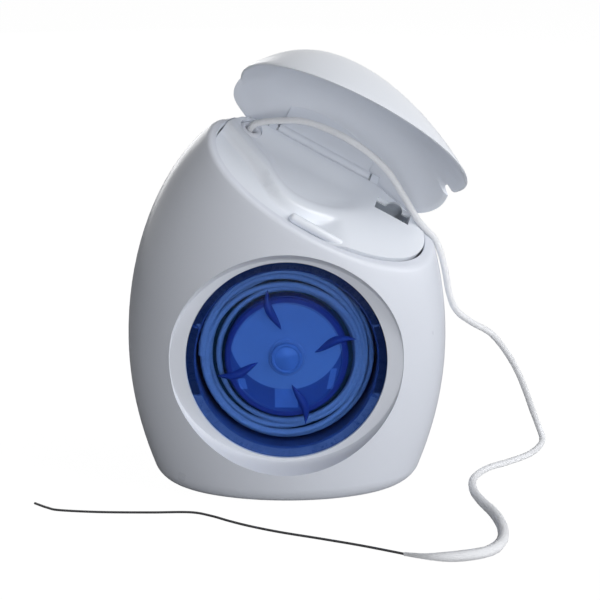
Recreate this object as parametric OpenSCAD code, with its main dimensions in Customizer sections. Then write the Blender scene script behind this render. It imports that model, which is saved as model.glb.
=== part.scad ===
// Dental floss dispenser: an egg-shaped casing with a slanted hinged lid and a round window.
// The origin is the middle of the flat base. X is to the right, Y to the rear and Z up.

/* [Casing] */
// Width of the casing at its waist
casing_w = 54; // [52:0.5:57]
// Depth of the casing at its waist, front to back
casing_d = 34.8; // [34:0.2:38]
// Height of the closed dispenser
casing_h = 66.3; // [65.5:0.1:69]
// Height of the waist, where the casing is widest
waist_z = 25; // [24:0.5:26.5]
// Share of the half width that is drawn in at the foot
foot_taper = 0.204; // [0.17:0.002:0.22]
// Radius of the rounded edge of the foot
foot_r = 3; // [2:0.25:3.5]
// Wall thickness of the two casing shells
shell_wall = 1.5; // [1.4:0.1:1.8]
// Thickness of the floor
floor_t = 1.8; // [1.5:0.1:2.5]

/* [Opening and lid] */
// Height of the closed lid above the slanted rim plane, on the casing's middle line
lid_rise = 10.36; // [10:0.02:11]
// Slope of the rim plane, down to the right
rim_roll = 28.65; // [27.5:0.25:29.5]
// Slope of the rim plane, down to the front
rim_pitch = 26.4; // [25:0.2:27.5]
// Distance from the middle of the rim plane back to the rear edge of the deck
deck_back = 5.6; // [5:0.1:6]
// Steepness of the shoulder that falls away behind the deck
shoulder_slope = 0.85; // [0.78:0.01:0.9]
// Gap between the closed lid and the rim
lid_gap = 0.3; // [0.25:0.05:0.45]
// Wall thickness of the lid
lid_wall = 1.2; // [1:0.1:1.4]
// Thickness that the lid's wall tapers to at its edge
lid_edge = 0.5; // [0.4:0.05:0.8]
// Angle that the lid stands open
lid_open = 55.8; // [50:0.2:56]
// Depth of the thumb scoop in the lid
scoop_depth = 0.7; // [0.4:0.05:0.8]
// Radius of the ball that cuts the thumb scoop
scoop_r = 16; // [12:0.5:20]

/* [Hinge] */
// Distance from the middle of the rim plane back to the hinge axis
hinge_back = 8.15; // [8:0.05:8.4]
// Depth of the hinge axis below the rim plane
hinge_sink = 1.22; // [1.1:0.02:1.4]
// Left end of the hinge
hinge_left = -4.9; // [-5:0.1:-4.5]
// Length of the hinge
hinge_len = 21; // [20:0.1:21.2]
// Radius of the hinge barrel and of its two lugs
barrel_r = 1.1; // [1:0.05:1.2]
// Radius of the hinge pin
pin_r = 0.5; // [0.4:0.05:0.6]
// Running clearance between the hinge pin and the barrel
pin_play = 0.05; // [0.03:0.01:0.08]
// Width of each of the two lugs that hold the pin
lug_w = 1.4; // [1.2:0.1:1.6]
// Thickness of the wall that joins the barrel to the lid
web_t = 1; // [0.8:0.1:1.2]
// Clearance round the lid's skirt as it swings
swing_gap = 0.3; // [0.25:0.05:0.4]
// Wall thickness of the trough that the skirt swings in
trough_wall = 1.1; // [1:0.1:1.4]

/* [Deck] */
// Thickness of the deck
deck_t = 1.6; // [1.4:0.1:2]
// Gap between the deck and the casing wall round it
deck_gap = 0.1; // [0.08:0.01:0.2]
// Depth of the valley inside the left part of the rim
valley_depth = 1.3; // [1:0.05:1.5]
// Height of the raised right part of the deck above the rim
plateau_rise = 0.35; // [0.2:0.05:0.5]
// Height of the lip round the dish above the rim
lip_rise = 0.25; // [0.1:0.05:0.4]
// Depth of the dish behind the lip
dish_depth = 1; // [0.6:0.05:1.2]
// Length of the catch finger for the lid
finger_len = 8.2; // [7:0.2:9]
// Radius of the catch finger
finger_r = 0.8; // [0.6:0.05:0.9]

/* [Cutter] */
// Width of the cutter pocket
pocket_w = 6.4; // [6:0.1:6.8]
// Length of the cutter pocket, front to back
pocket_l = 3.4; // [3.2:0.1:3.6]
// Depth of the cutter pocket below the rim plane
pocket_depth = 2.2; // [1.9:0.1:2.5]
// Thickness of the steel of the blade
blade_t = 0.4; // [0.3:0.05:0.5]
// Height of the standing part of the blade
blade_h = 2.3; // [2:0.1:2.5]

/* [Floss guide] */
// Radius of the hole that the floss runs through
guide_bore_r = 0.95; // [0.9:0.05:1.1]
// Radius of the neck of the floss guide
guide_neck_r = 1.5; // [1.4:0.05:1.7]
// Radius of the flange of the floss guide
guide_flange_r = 2; // [1.9:0.05:2.3]

/* [Window] */
// Height of the middle of the window, and of the spool's axis
window_z = 24; // [23.5:0.1:24.5]
// Radius of the round window
window_r = 16.6; // [16.2:0.1:16.8]
// Distance of the window's front face in front of the casing's middle
window_front = 12.1; // [11.9:0.05:12.4]
// Thickness of the window
window_t = 1.2; // [1:0.1:1.4]
// Radial gap between the window and its bore
window_play = 0.08; // [0.05:0.01:0.1]
// Width of the bevelled seat round the window, at the sides
seat_side = 2.9; // [2.5:0.1:3.1]
// Width of the bevelled seat round the window, above and below
seat_top = 1.9; // [1.6:0.1:2.2]
// Wall of the collar that the window sits in
collar_wall = 2.6; // [2.2:0.1:3]
// Height of the ring that holds the window from behind
clamp_t = 1; // [0.8:0.1:1.2]

/* [Spool] */
// Outer radius of the spool's drum
drum_r = 10.2; // [9.8:0.1:10.3]
// Wall thickness of the drum
drum_wall = 1; // [0.8:0.1:1.2]
// Length of the drum
drum_len = 16.6; // [15:0.2:17.5]
// Distance of the drum's front in front of the casing's middle
drum_front = 8.6; // [8.4:0.1:8.8]
// Radius of the rear flange of the spool
flange_r = 14.8; // [14.6:0.1:15]
// Thickness of the face disc and of the rear flange
disc_t = 0.8; // [0.7:0.1:1]
// Number of slots round the drum
drum_slots = 6; // [4:1:8]
// Width of each slot in the drum
slot_w = 3.4; // [2.5:0.1:4]
// Number of curved fins on the face disc
fin_count = 4; // [3:1:6]
// Radius that the tips of the fins reach
fin_tip_r = 11.8; // [11.2:0.1:12.2]
// Thickness of a fin
fin_t = 0.5; // [0.4:0.05:0.7]
// Radius of the spindle
spindle_r = 1.5; // [1.3:0.05:1.7]
// Running clearance round the spindle
spindle_play = 0.06; // [0.04:0.01:0.09]
// Radius of the cap on the spindle's front end
cap_r = 2.5; // [2.3:0.1:2.8]
// Height of the cap
cap_h = 0.9; // [0.7:0.05:0.95]
// Thickness of the drag washer behind the spool
washer_t = 0.6; // [0.4:0.05:0.8]
// Radius of the drag washer
washer_r = 5; // [4:0.25:6]

/* [Floss] */
// Radius of the floss as it is wound on the spool
wound_r = 0.4; // [0.35:0.01:0.42]
// Step from one wound turn to the next
wound_step = 1.28; // [1.27:0.01:1.32]
// Turns of floss that show on the spool's front
face_turns = 3; // [2:1:3]
// Turns of floss along the drum
drum_turns = 8; // [5:1:9]
// Outer radius of the plain core of wound floss
core_r = 13.55; // [13.4:0.05:13.6]
// Radius of the floss between the spool and the guide
feed_r = 0.55; // [0.5:0.05:0.65]
// Radius of the free strand where it leaves the guide
strand_r = 0.55; // [0.5:0.05:0.7]
// Radius of the thick spongy end of the free strand
strand_end_r = 0.88; // [0.7:0.02:0.9]
// Radius of the stiff threader at the end of the strand
threader_r = 0.2; // [0.15:0.05:0.3]

/* [Hidden] */
$fn = 48;
half_w = casing_w / 2;
half_d = casing_d / 2;
crown = casing_h - waist_z;
rim_z = casing_h - lid_rise;
beyond = 2 * casing_w;
depth_power = 0.75;
column_step = 6;
hinge_right = hinge_left + hinge_len;

// The rim frame has its origin where the rim plane crosses the casing's middle line,
// X along the hinge, Y to the rear and Z square to the rim plane.
rim_x = [cos(rim_roll), 0, -sin(rim_roll)];
rim_n = [cos(rim_pitch) * sin(rim_roll), -sin(rim_pitch), cos(rim_pitch) * cos(rim_roll)];
rim_y = cross(rim_n, rim_x);
rim_o = [0, 0, rim_z];
function to_rim(p) = [(p - rim_o) * rim_x, (p - rim_o) * rim_y, (p - rim_o) * rim_n];
function from_rim(q) = rim_o + q.x * rim_x + q.y * rim_y + q.z * rim_n;
module in_rim() {
    translate(rim_o) rotate([0, rim_roll, 0]) rotate([rim_pitch, 0, 0]) children();
}
module in_hinge() {
    in_rim() translate([0, hinge_back, -hinge_sink]) children();
}
module in_spool() {
    translate([0, 0, window_z]) rotate([90, 0, 0]) children();
}

// Smooth step from 0 at a to 1 at b.
function clamp01(v) = min(1, max(0, v));
function ease(a, b, v) = let (u = clamp01((v - a) / (b - a))) u * u * (3 - 2 * u);

// The egg: its point at angle a on the level z, or on the crown angle c above the waist,
// drawn in by inset.
function foot_inset(z) = z >= foot_r ? 0 : foot_r - sqrt(foot_r * foot_r - (foot_r - z) * (foot_r - z));
function low_w(z) = half_w * (1 - foot_taper * pow((waist_z - z) / waist_z, 2));
function low_d(z) = half_d * pow(low_w(z) / half_w, depth_power);
function low_point(a, z, inset) = let (m = inset + foot_inset(z))
    [(low_w(z) - m) * cos(a), (low_d(z) - m) * sin(a), z];
function up_point(a, c, inset) =
    [(half_w - inset) * cos(c) * cos(a),
     (half_d - inset) * pow(cos(c), depth_power) * sin(a),
     waist_z + (crown - inset) * sin(c)];

// The rim's height over the rim plane: level in front, falling away behind the deck's rear edge.
corner_left = -6.5;
corner_right = 16;
left_curve = 0.13;
right_slope = 0.44;
function back_line(x) = x < corner_left ? deck_back - left_curve * pow(corner_left - x, 2)
    : x > corner_right ? deck_back - right_slope * (x - corner_right) : deck_back;
function shoulder(x, y) = shoulder_slope * max(0, y - back_line(x));
function over_rim(p) = let (q = to_rim(p)) q.z + shoulder(q.x, q.y);
function find_crown(a, inset, level, lo, hi, n) = n == 0 ? (lo + hi) / 2
    : let (m = (lo + hi) / 2)
      over_rim(up_point(a, m, inset)) < level
        ? find_crown(a, inset, level, m, hi, n - 1)
        : find_crown(a, inset, level, lo, m, n - 1);
function rim_crown(a, inset, level) = find_crown(a, inset, level, 5, 86, 22);
function rim_point(a, inset, level) = up_point(a, rim_crown(a, inset, level), inset);

// A solid from columns of points. Each column starts and ends on the Z axis, the columns follow
// one another by angle, and wrap joins the last to the first or leaves two flat ends.
function grid_index(j, i, rows) = i == 0 ? 0 : i == rows ? 1 : 2 + j * (rows - 1) + i - 1;
function grid_points(cols) = let (rows = len(cols[0]) - 1)
    concat([cols[0][0], cols[0][rows]], [for (c = cols, i = [1:rows - 1]) c[i]]);
function grid_faces(cols, wrap) = let (n = len(cols), rows = len(cols[0]) - 1, m = wrap ? n : n - 1)
    [for (j = [0:m - 1], i = [0:rows - 1]) let (
        k = (j + 1) % n,
        a = grid_index(j, i, rows), b = grid_index(k, i, rows),
        c = grid_index(k, i + 1, rows), d = grid_index(j, i + 1, rows))
        each [if (a != b) [a, c, b], if (c != d) [a, d, c]]];
function grid_ends(cols) = let (n = len(cols) - 1, rows = len(cols[0]) - 1)
    [[for (i = [0:rows]) grid_index(0, rows - i, rows)], [for (i = [0:rows]) grid_index(n, i, rows)]];
module turned(cols, wrap) {
    polyhedron(grid_points(cols), wrap ? grid_faces(cols, true)
        : concat(grid_faces(cols, false), grid_ends(cols)), convexity = 8);
}

// One column of the casing's outside, with the rounded top edge of its wall.
lip_r = 0.5;
low_levels = 4;
up_levels = 8;
top_z = rim_z - 4;
function outer_column(a) = let (c = rim_crown(a, 0, -lip_r)) concat(
    [[0, 0, 0]],
    [for (t = [90, 60, 30, 0]) low_point(a, foot_r * (1 - sin(t)), 0)],
    [for (k = [1:low_levels]) low_point(a, foot_r + (waist_z - foot_r) * k / low_levels, 0)],
    [for (k = [1:up_levels]) up_point(a, c * k / up_levels, 0)],
    [rim_point(a, 0.3 * lip_r, -0.3 * lip_r), rim_point(a, lip_r, 0),
     rim_point(a, shell_wall + 1, -0.3)],
    [[0, 0, top_z]]);

// One column of the hollow inside an egg whose wall is inset thick.
function inner_column(a, inset, base, top) = concat(
    [[0, 0, base]],
    [low_point(a, base, inset + 1), low_point(a, base + 1, inset)],
    [for (k = [1:low_levels]) low_point(a, base + 1 + (waist_z - base - 1) * k / low_levels, inset)],
    [for (k = [1:6]) up_point(a, top * k / 6, inset)],
    [[0, 0, waist_z + (crown - inset) * sin(top)]]);

front_angles = [for (a = [180:column_step:360]) a];
rear_angles = [for (a = [0:column_step:180]) a];
front_hollow = [for (a = [180 - column_step:column_step:360 + column_step]) a];
rear_hollow = [for (a = [-column_step:column_step:180 + column_step]) a];
ring_angles = [for (a = [0:column_step:355]) a];
inner_top = 84;

// The collar that the window sits in, and the two pairs of pegs and bosses that join the shells.
collar_r = window_r + collar_wall;
collar_back = window_front - window_t - clamp_t;
peg_r = 1.4;
peg_play = 0.06;
boss_r = 2.6;
boss_x = half_w - 9.5;
boss_z = 8;
peg_len = 5;
module at_bosses() {
    for (side = [-1, 1]) translate([side * boss_x, 0, boss_z]) rotate([90, 0, 0]) children();
}

// The bevelled seat: a ring of slanted faces that starts level with the window and opens forward.
seat_steps = 72;
seat_rings = [[window_front - 0.3, -0.05, -0.08], [window_front - 0.05, 1, 0.25],
    [half_d - 1.4, 1.15, 1], [half_d + 4.6, 1.5, 1.4]];
function seat_ring(r) = [for (k = [0:seat_steps - 1]) let (a = k * 360 / seat_steps)
    [(window_r + seat_side * r[1]) * cos(a), (window_r + seat_top * r[2]) * sin(a), r[0]]];
module window_seat() {
    n = seat_steps;
    last = len(seat_rings) - 1;
    points = [for (r = seat_rings) each seat_ring(r)];
    sides = [for (j = [0:last - 1], i = [0:n - 1]) let (k = (i + 1) % n)
        each [[j * n + i, (j + 1) * n + k, j * n + k], [j * n + i, (j + 1) * n + i, (j + 1) * n + k]]];
    caps = [[for (i = [0:n - 1]) i], [for (i = [0:n - 1]) last * n + n - 1 - i]];
    polyhedron(points, concat(sides, caps), convexity = 4);
}

module front_shell() {
    color("ghostwhite") difference() {
        turned([for (a = front_angles) outer_column(a)], false);
        difference() {
            turned([for (a = front_hollow) inner_column(a, shell_wall, floor_t, inner_top)], false);
            in_spool() translate([0, 0, collar_back]) cylinder(h = half_d, r = collar_r, $fn = 96);
            at_bosses() cylinder(h = half_d, r = boss_r);
        }
        in_spool() window_seat();
        in_spool() translate([0, 0, collar_back - 1])
            cylinder(h = window_front - collar_back + 1, r = window_r, $fn = 96);
        at_bosses() translate([0, 0, -1]) cylinder(h = peg_len + 1.5, r = peg_r);
        exit_notch();
    }
}

// The room that the lid's skirt sweeps: a turned body about the hinge axis, by the skirt's
// greatest radius at each place along the hinge.
sweep = [for (a = [126:-6:30]) let (q = to_rim(rim_point(a, 0, lid_gap)))
    [q.x, norm([q.y - hinge_back, q.z + hinge_sink])]];
module swept_room(extra) {
    first = sweep[0];
    final = sweep[len(sweep) - 1];
    in_hinge() rotate([0, 90, 0]) rotate_extrude($fn = 64)
        polygon(concat([[0, first.x - extra]], [[first.y + extra, first.x - extra]],
            [for (p = sweep) [p.y + extra, p.x]],
            [[final.y + extra, final.x + extra]], [[0, final.x + extra]]));
}

// The post in the rear shell that carries the spindle.
post_r = 5.9;
spool_back = drum_front - drum_len;
body_gap = 0.3;
post_front = -spool_back + body_gap + washer_t;
spindle_seat = 3;
module rear_shell() {
    color("ghostwhite") union() {
        difference() {
            turned([for (a = rear_angles) outer_column(a)], false);
            difference() {
                turned([for (a = rear_hollow) inner_column(a, shell_wall, floor_t, inner_top)], false);
                in_spool() translate([0, 0, -beyond]) cylinder(h = beyond - post_front, r = post_r);
                at_bosses() translate([0, 0, -half_d]) cylinder(h = half_d, r = boss_r);
            }
            in_spool() translate([0, 0, -post_front - spindle_seat])
                cylinder(h = 2 * spindle_seat, r = spindle_r);
            swept_room(swing_gap);
            exit_notch();
        }
        at_bosses() translate([0, 0, -1]) cylinder(h = peg_len + 1, r = peg_r - peg_play);
    }
}

// The deck is a sheet that rises and falls: a valley at the left, a lip round a shallow dish,
// and a raised right part. These give its height over the rim plane at x, y.
lip_front = -10.6;
lip_mid = 4.5;
lip_left_curve = 0.1;
lip_right_curve = 0.055;
function lip_line(x) = x > lip_mid ? lip_front + lip_right_curve * pow(x - lip_mid, 2)
    : let (d = lip_mid - x) lip_front + lip_left_curve * pow(min(d, 7), 2) + 0.75 * max(0, d - 7);
function deck_height(x, y) = let (
    e = y - lip_line(x),
    outside = -valley_depth + (plateau_rise + valley_depth) * ease(8, 14, x + 0.35 * y + 4),
    inside = -dish_depth * ease(0, 6, e) * (1 - ease(deck_back - 5, deck_back, y)) * (1 - ease(10, 17, x)),
    crest = max(outside, lip_rise * (1 - ease(8, 15, x)) + plateau_rise * ease(8, 15, x)))
    (e > 0 ? crest + (inside - crest + lip_rise) * ease(0, 3.5, e)
           : outside + (crest - outside) * ease(-1.8, 0, e)) - shoulder(x, y);

deck_rings = 9;
deck_middle = [7, -4];
function deck_edge(a) = let (q = to_rim(rim_point(a, shell_wall + deck_gap, -0.2))) [q.x, q.y];
deck_edges = [for (a = ring_angles) deck_edge(a)];
function deck_ring(f, drop) = [for (e = deck_edges) let (
    x = deck_middle.x + f * (e.x - deck_middle.x),
    y = deck_middle.y + f * (e.y - deck_middle.y)) [x, y, deck_height(x, y) - drop]];
function deck_ring_share(k) = pow(k / deck_rings, 0.8);
module deck_sheet() {
    n = len(deck_edges);
    under = [for (k = [1:deck_rings]) deck_ring(deck_ring_share(k), deck_t)];
    over = [for (k = [0:deck_rings - 1]) deck_ring(deck_ring_share(deck_rings - k), 0)];
    rings = concat(under, over);
    last = len(rings) - 1;
    m = len(rings) * n;
    mid_h = deck_height(deck_middle.x, deck_middle.y);
    points = concat([for (r = rings) each r],
        [[deck_middle.x, deck_middle.y, mid_h - deck_t], [deck_middle.x, deck_middle.y, mid_h]]);
    sides = [for (j = [0:last - 1], i = [0:n - 1]) let (k = (i + 1) % n)
        each [[j * n + i, (j + 1) * n + k, j * n + k], [j * n + i, (j + 1) * n + i, (j + 1) * n + k]]];
    caps = [for (i = [0:n - 1]) let (k = (i + 1) % n)
        each [[m, i, k], [m + 1, last * n + k, last * n + i]]];
    polyhedron(points, concat(sides, caps), convexity = 8);
}

// The deck also carries the hinge: a trough behind its rear edge, with a lug at each end.
module behind_deck(y) {
    in_rim() translate([-beyond / 2, y, -beyond / 2]) cube(beyond);
}
module hinge_lug(x) {
    in_hinge() translate([x, 0, 0]) {
        rotate([0, 90, 0]) cylinder(h = lug_w, r = barrel_r);
        translate([0, deck_back - hinge_back - trough_wall, -barrel_r])
            cube([lug_w, hinge_back - deck_back + trough_wall, 2 * barrel_r]);
    }
}
module trough_block() {
    intersection() {
        swept_room(swing_gap + trough_wall);
        behind_deck(deck_back - trough_wall);
        turned([for (a = ring_angles) inner_column(a, shell_wall + deck_gap, floor_t, inner_top)], true);
        in_rim() translate([-beyond / 2, -beyond / 2, -beyond]) cube([beyond, beyond, beyond - deck_t / 2]);
    }
}

guide_at = [-7.4, 3];
guide_level = -0.9;
guide_neck = 1.4;
pocket_at = [16.8, -0.9];
pocket_wall = 0.8;
finger_at = [5, -13.2];
finger_turn = -5;
finger_level = -0.5;
finger_climb = 0.5;
module deck() {
    color("ghostwhite") {
        difference() {
            union() {
                in_rim() deck_sheet();
                trough_block();
                in_rim() translate([pocket_at.x - pocket_wall, pocket_at.y - pocket_wall, -pocket_depth - 0.7])
                    cube([pocket_w + 2 * pocket_wall, pocket_l + 2 * pocket_wall, pocket_depth]);
            }
            intersection() {
                swept_room(swing_gap);
                behind_deck(deck_back);
            }
            in_rim() translate([guide_at.x, guide_at.y, -6]) cylinder(h = 12, r = guide_neck_r);
            in_rim() translate([guide_at.x, guide_at.y, guide_level]) cylinder(h = 12, r = guide_flange_r);
            in_rim() translate([pocket_at.x, pocket_at.y, -pocket_depth]) cube([pocket_w, pocket_l, 8]);
            exit_notch();
        }
        in_rim() translate([finger_at.x, finger_at.y, finger_level]) rotate([0, 0, finger_turn]) {
            rotate([0, 90 - finger_climb, 0]) cylinder(h = finger_len, r = finger_r);
            sphere(r = finger_r);
        }
        difference() {
            union() {
                hinge_lug(hinge_left);
                hinge_lug(hinge_right - lug_w);
            }
            in_hinge() translate([hinge_left - 1, 0, 0]) rotate([0, 90, 0]) cylinder(h = hinge_len + 2, r = pin_r);
        }
    }
}

module hinge_pin() {
    color("silver") in_hinge() translate([hinge_left + 0.2, 0, 0]) rotate([0, 90, 0])
        cylinder(h = hinge_len - 0.4, r = pin_r);
}

// The notch that the floss runs out through, between the rim and the closed lid.
notch_from = [24.1, 0.83, 1.25];
notch_to = [29.5, -0.26, -0.46];
notch_gap = 0.3;
notch_r = strand_r + notch_gap;
module exit_notch() {
    d = notch_to - notch_from;
    in_rim() translate(notch_from) rotate([0, acos(d.z / norm(d)), atan2(d.y, d.x)])
        cylinder(h = norm(d), r = notch_r);
}

// One column of the lid: down its hollow side, round its edge and back up its outside.
function lid_inset(u) = lid_wall - (lid_wall - lid_edge) * ease(0.45, 1, u);
function lid_column(a) = let (
    ci = rim_crown(a, lid_edge, lid_gap),
    co = rim_crown(a, 0, lid_gap + 0.3)) concat(
    [[0, 0, casing_h - lid_wall]],
    [for (k = [1:7]) up_point(a, 90 + (ci - 90) * k / 7, lid_inset(k / 7))],
    [rim_point(a, 0.4 * lid_edge, lid_gap)],
    [for (k = [0:6]) up_point(a, co + (90 - co) * k / 7, 0)],
    [[0, 0, casing_h]]);
scoop_at = [6, -17.2, 1.6];
scoop_way = [0, -0.93, 0.37];
wall_angle = 80;
barrel_left = hinge_left + lug_w + lid_gap;
barrel_len = hinge_len - 2 * (lug_w + lid_gap);
web_short = 0.4;
barrel_trim = 0.05;
module lug_room(x) {
    in_hinge() translate([x, 0, 0]) rotate([0, 90, 0])
        cylinder(h = lug_w + 2 * lid_gap + barrel_trim, r = barrel_r + swing_gap);
}
module lid_closed() {
    difference() {
        union() {
            turned([for (a = ring_angles) lid_column(a)], true);
            intersection() {
                in_hinge() rotate([wall_angle, 0, 0])
                    translate([barrel_left + web_short, 0, -web_t / 2])
                    cube([barrel_len - 2 * web_short, 20, web_t]);
                turned([for (a = ring_angles) inner_column(a, lid_edge / 2, floor_t, inner_top)], true);
            }
            in_hinge() translate([barrel_left, 0, 0]) rotate([0, 90, 0]) cylinder(h = barrel_len, r = barrel_r);
        }
        in_hinge() translate([hinge_left, 0, 0]) rotate([0, 90, 0])
            cylinder(h = hinge_len, r = pin_r + pin_play);
        lug_room(hinge_left - lid_gap);
        lug_room(hinge_right - lug_w - lid_gap - barrel_trim);
        in_rim() translate(scoop_at + (scoop_r - scoop_depth) * scoop_way) sphere(r = scoop_r, $fn = 96);
        exit_notch();
    }
}
module lid() {
    color("ghostwhite")
        in_hinge() rotate([-lid_open, 0, 0]) translate([0, -hinge_back, hinge_sink])
        rotate([-rim_pitch, 0, 0]) rotate([0, -rim_roll, 0]) translate(-rim_o)
        lid_closed();
}

blade_gap = 0.05;
lobe_x = 3.4;
lobe_r = 1.5;
tooth_at = 5.4;
tooth_w = 1;
module cutter_blade() {
    w = pocket_w - 2 * blade_gap;
    l = pocket_l - 2 * blade_gap;
    color("silver") in_rim() translate([pocket_at.x + blade_gap, pocket_at.y + blade_gap, -pocket_depth]) {
        cube([w, l, blade_t]);
        translate([0, l - blade_t, 0]) cube([w, blade_t, blade_h - 0.6]);
        translate([lobe_x, l - blade_t, blade_h - 0.6]) rotate([-90, 0, 0]) cylinder(h = blade_t, r = lobe_r);
        translate([tooth_at, 0.9, 0]) rotate([90, 0, 0]) linear_extrude(blade_t)
            polygon([[-tooth_w / 2, 0], [tooth_w / 2, 0], [0, blade_h]]);
    }
}

module floss_guide() {
    color("white") in_rim() translate([guide_at.x, guide_at.y, guide_level]) difference() {
        union() {
            translate([0, 0, -guide_neck]) cylinder(h = guide_neck + 0.2, r = guide_neck_r);
            cylinder(h = 0.5, r = guide_flange_r);
            translate([0, 0, 0.5]) cylinder(h = 0.3, r1 = guide_flange_r, r2 = guide_flange_r - 0.4);
        }
        translate([0, 0, -3]) cylinder(h = 6, r = guide_bore_r);
    }
}

module window_lens() {
    color("royalblue", 0.5) in_spool() translate([0, 0, window_front - window_t]) union() {
        cylinder(h = window_t - 0.3, r = window_r - window_play, $fn = 96);
        translate([0, 0, window_t - 0.3])
            cylinder(h = 0.3, r1 = window_r - window_play, r2 = window_r - window_play - 0.5, $fn = 96);
    }
}

clamp_w = 1.5;
module window_clamp() {
    color("midnightblue") in_spool() translate([0, 0, collar_back]) difference() {
        cylinder(h = clamp_t, r = window_r - window_play, $fn = 96);
        translate([0, 0, -1]) cylinder(h = clamp_t + 2, r = window_r - clamp_w, $fn = 96);
    }
}

hub_r = 2.9;
slot_from = 4;
slot_len = 9;
module spool_drum() {
    color("mediumblue") in_spool() difference() {
        union() {
            difference() {
                translate([0, 0, spool_back]) cylinder(h = drum_len, r = drum_r, $fn = 72);
                translate([0, 0, spool_back + disc_t]) cylinder(h = drum_len, r = drum_r - drum_wall, $fn = 72);
            }
            translate([0, 0, spool_back]) cylinder(h = drum_len - 0.1, r = hub_r);
        }
        translate([0, 0, spool_back - 1]) cylinder(h = drum_len + 2, r = spindle_r + spindle_play);
        for (k = [0:drum_slots - 1]) rotate([0, 0, 270 + k * 360 / drum_slots])
            translate([drum_r - 2 * drum_wall, -slot_w / 2, drum_front - slot_from - slot_len])
            cube([3 * drum_wall, slot_w, slot_len]);
    }
}

winding_back = 3.4;
module spool_flange() {
    color("mediumblue") in_spool() translate([0, 0, -winding_back - disc_t]) difference() {
        cylinder(h = disc_t, r = flange_r, $fn = 72);
        translate([0, 0, -1]) cylinder(h = disc_t + 2, r = drum_r, $fn = 72);
    }
}

// A fin runs from its inner tip, bows forward, and ends in a pointed tip beyond the disc.
fin_h = 0.9;
fin_from = 4.8;
fin_bow = 6.5;
fin_turn = 15.2;
fin_lean = -4.5;
fin_steps = 8;
function fin_r(u) = fin_from + (fin_tip_r - fin_from) * u;
function fin_a(u) = fin_lean * (1 - u) + fin_bow * sin(180 * u);
function fin_side(u, side) = let (r = fin_r(u), a = fin_a(u), h = side * fin_t / 2 * sin(180 * u))
    [r * cos(a) - h * sin(a), r * sin(a) + h * cos(a)];
module fin() {
    polygon(concat([for (k = [0:fin_steps]) fin_side(k / fin_steps, -1)],
        [for (k = [1:fin_steps - 1]) fin_side(1 - k / fin_steps, 1)]));
}
face_r = drum_r - 0.15;
module spool_face() {
    color("royalblue") in_spool() translate([0, 0, drum_front]) difference() {
        union() {
            cylinder(h = disc_t, r = face_r, $fn = 72);
            for (k = [0:fin_count - 1]) rotate([0, 0, fin_turn + k * 360 / fin_count])
                translate([0, 0, disc_t - 0.1]) linear_extrude(fin_h + 0.1) fin();
        }
        translate([0, 0, -1]) cylinder(h = disc_t + 3, r = spindle_r + spindle_play);
    }
}

module drag_washer() {
    color("dimgray") in_spool() translate([0, 0, -post_front]) difference() {
        cylinder(h = washer_t, r = washer_r);
        translate([0, 0, -1]) cylinder(h = washer_t + 2, r = spindle_r + spindle_play);
    }
}

cap_base = drum_front + disc_t + body_gap;
spindle_tip = cap_base + 0.4;
module spindle() {
    color("lightsteelblue") in_spool() translate([0, 0, -post_front - spindle_seat])
        cylinder(h = post_front + spindle_seat + spindle_tip, r = spindle_r);
}

module spindle_cap() {
    dome_r = (cap_r * cap_r + cap_h * cap_h) / (2 * cap_h);
    color("royalblue") in_spool() translate([0, 0, cap_base]) difference() {
        intersection() {
            translate([0, 0, cap_h - dome_r]) sphere(r = dome_r, $fn = 72);
            cylinder(h = cap_h + 1, r = cap_r);
        }
        translate([0, 0, -1]) cylinder(h = 1 + spindle_tip - cap_base, r = spindle_r);
    }
}

// The wound floss: a plain core with one unbroken strand wound over it, along the drum from the
// rear flange to the front and then inwards over the core's face.
wound_level = drum_front - 0.35 - wound_r;
core_front = wound_level - wound_r - 0.05;
lay_clear = 0.2;
lay_r = core_r + wound_r + lay_clear;
module floss_core() {
    color("azure") in_spool() translate([0, 0, -winding_back]) difference() {
        cylinder(h = winding_back + core_front, r = core_r, $fn = 72);
        translate([0, 0, -1]) cylinder(h = winding_back + core_front + 2, r = drum_r + 0.02, $fn = 72);
    }
}

turn_rings = 24;
corner_turns = 1;
corner_extra = 0.55;
lay_start = 195;
first_turn = -drum_turns;
last_turn = face_turns - 0.8;
function lay_way(t) = wound_step * t + corner_extra * max(-corner_turns, min(corner_turns, t));
function lay_point(t) = let (s = lay_way(t), a = lay_start + 360 * t, r = s > 0 ? lay_r - s : lay_r)
    [r * cos(a), r * sin(a), s > 0 ? wound_level : wound_level + s];
lay_count = round((last_turn - first_turn) * turn_rings);
lay_inner = [for (k = [0:lay_count]) lay_point(first_turn + k / turn_rings)];
function unit(v) = v / norm(v);
function straight_end(p, q) = p + 2 * wound_r * unit(p - q);
lay_points = concat([straight_end(lay_inner[0], lay_inner[1])], lay_inner,
    [straight_end(lay_inner[lay_count], lay_inner[lay_count - 1])]);

// A tube through points p with radius r[i] at each, closed by flat ends.
function tube_way(p, i) = unit(p[min(i + 1, len(p) - 1)] - p[max(i - 1, 0)]);
function square_to(v, w) = unit(v - (v * w) * w);
function tube_sides(p, first) = [for (i = 0, v = square_to(first, tube_way(p, 0)); i < len(p);
    i = i + 1, v = i < len(p) ? square_to(v, tube_way(p, i)) : v) v];
function tube_points(p, r, n, first) = let (v = tube_sides(p, first))
    [for (i = [0:len(p) - 1], k = [0:n - 1]) let (w = cross(tube_way(p, i), v[i]), a = 360 * k / n)
        p[i] + r[i] * (cos(a) * v[i] + sin(a) * w)];
function tube_faces(m, n) = concat(
    [for (i = [0:m - 2], k = [0:n - 1]) let (j = (k + 1) % n)
        each [[i * n + k, (i + 1) * n + j, i * n + j], [i * n + k, (i + 1) * n + k, (i + 1) * n + j]]],
    [[for (k = [0:n - 1]) k], [for (k = [0:n - 1]) m * n - 1 - k]]);
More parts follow.
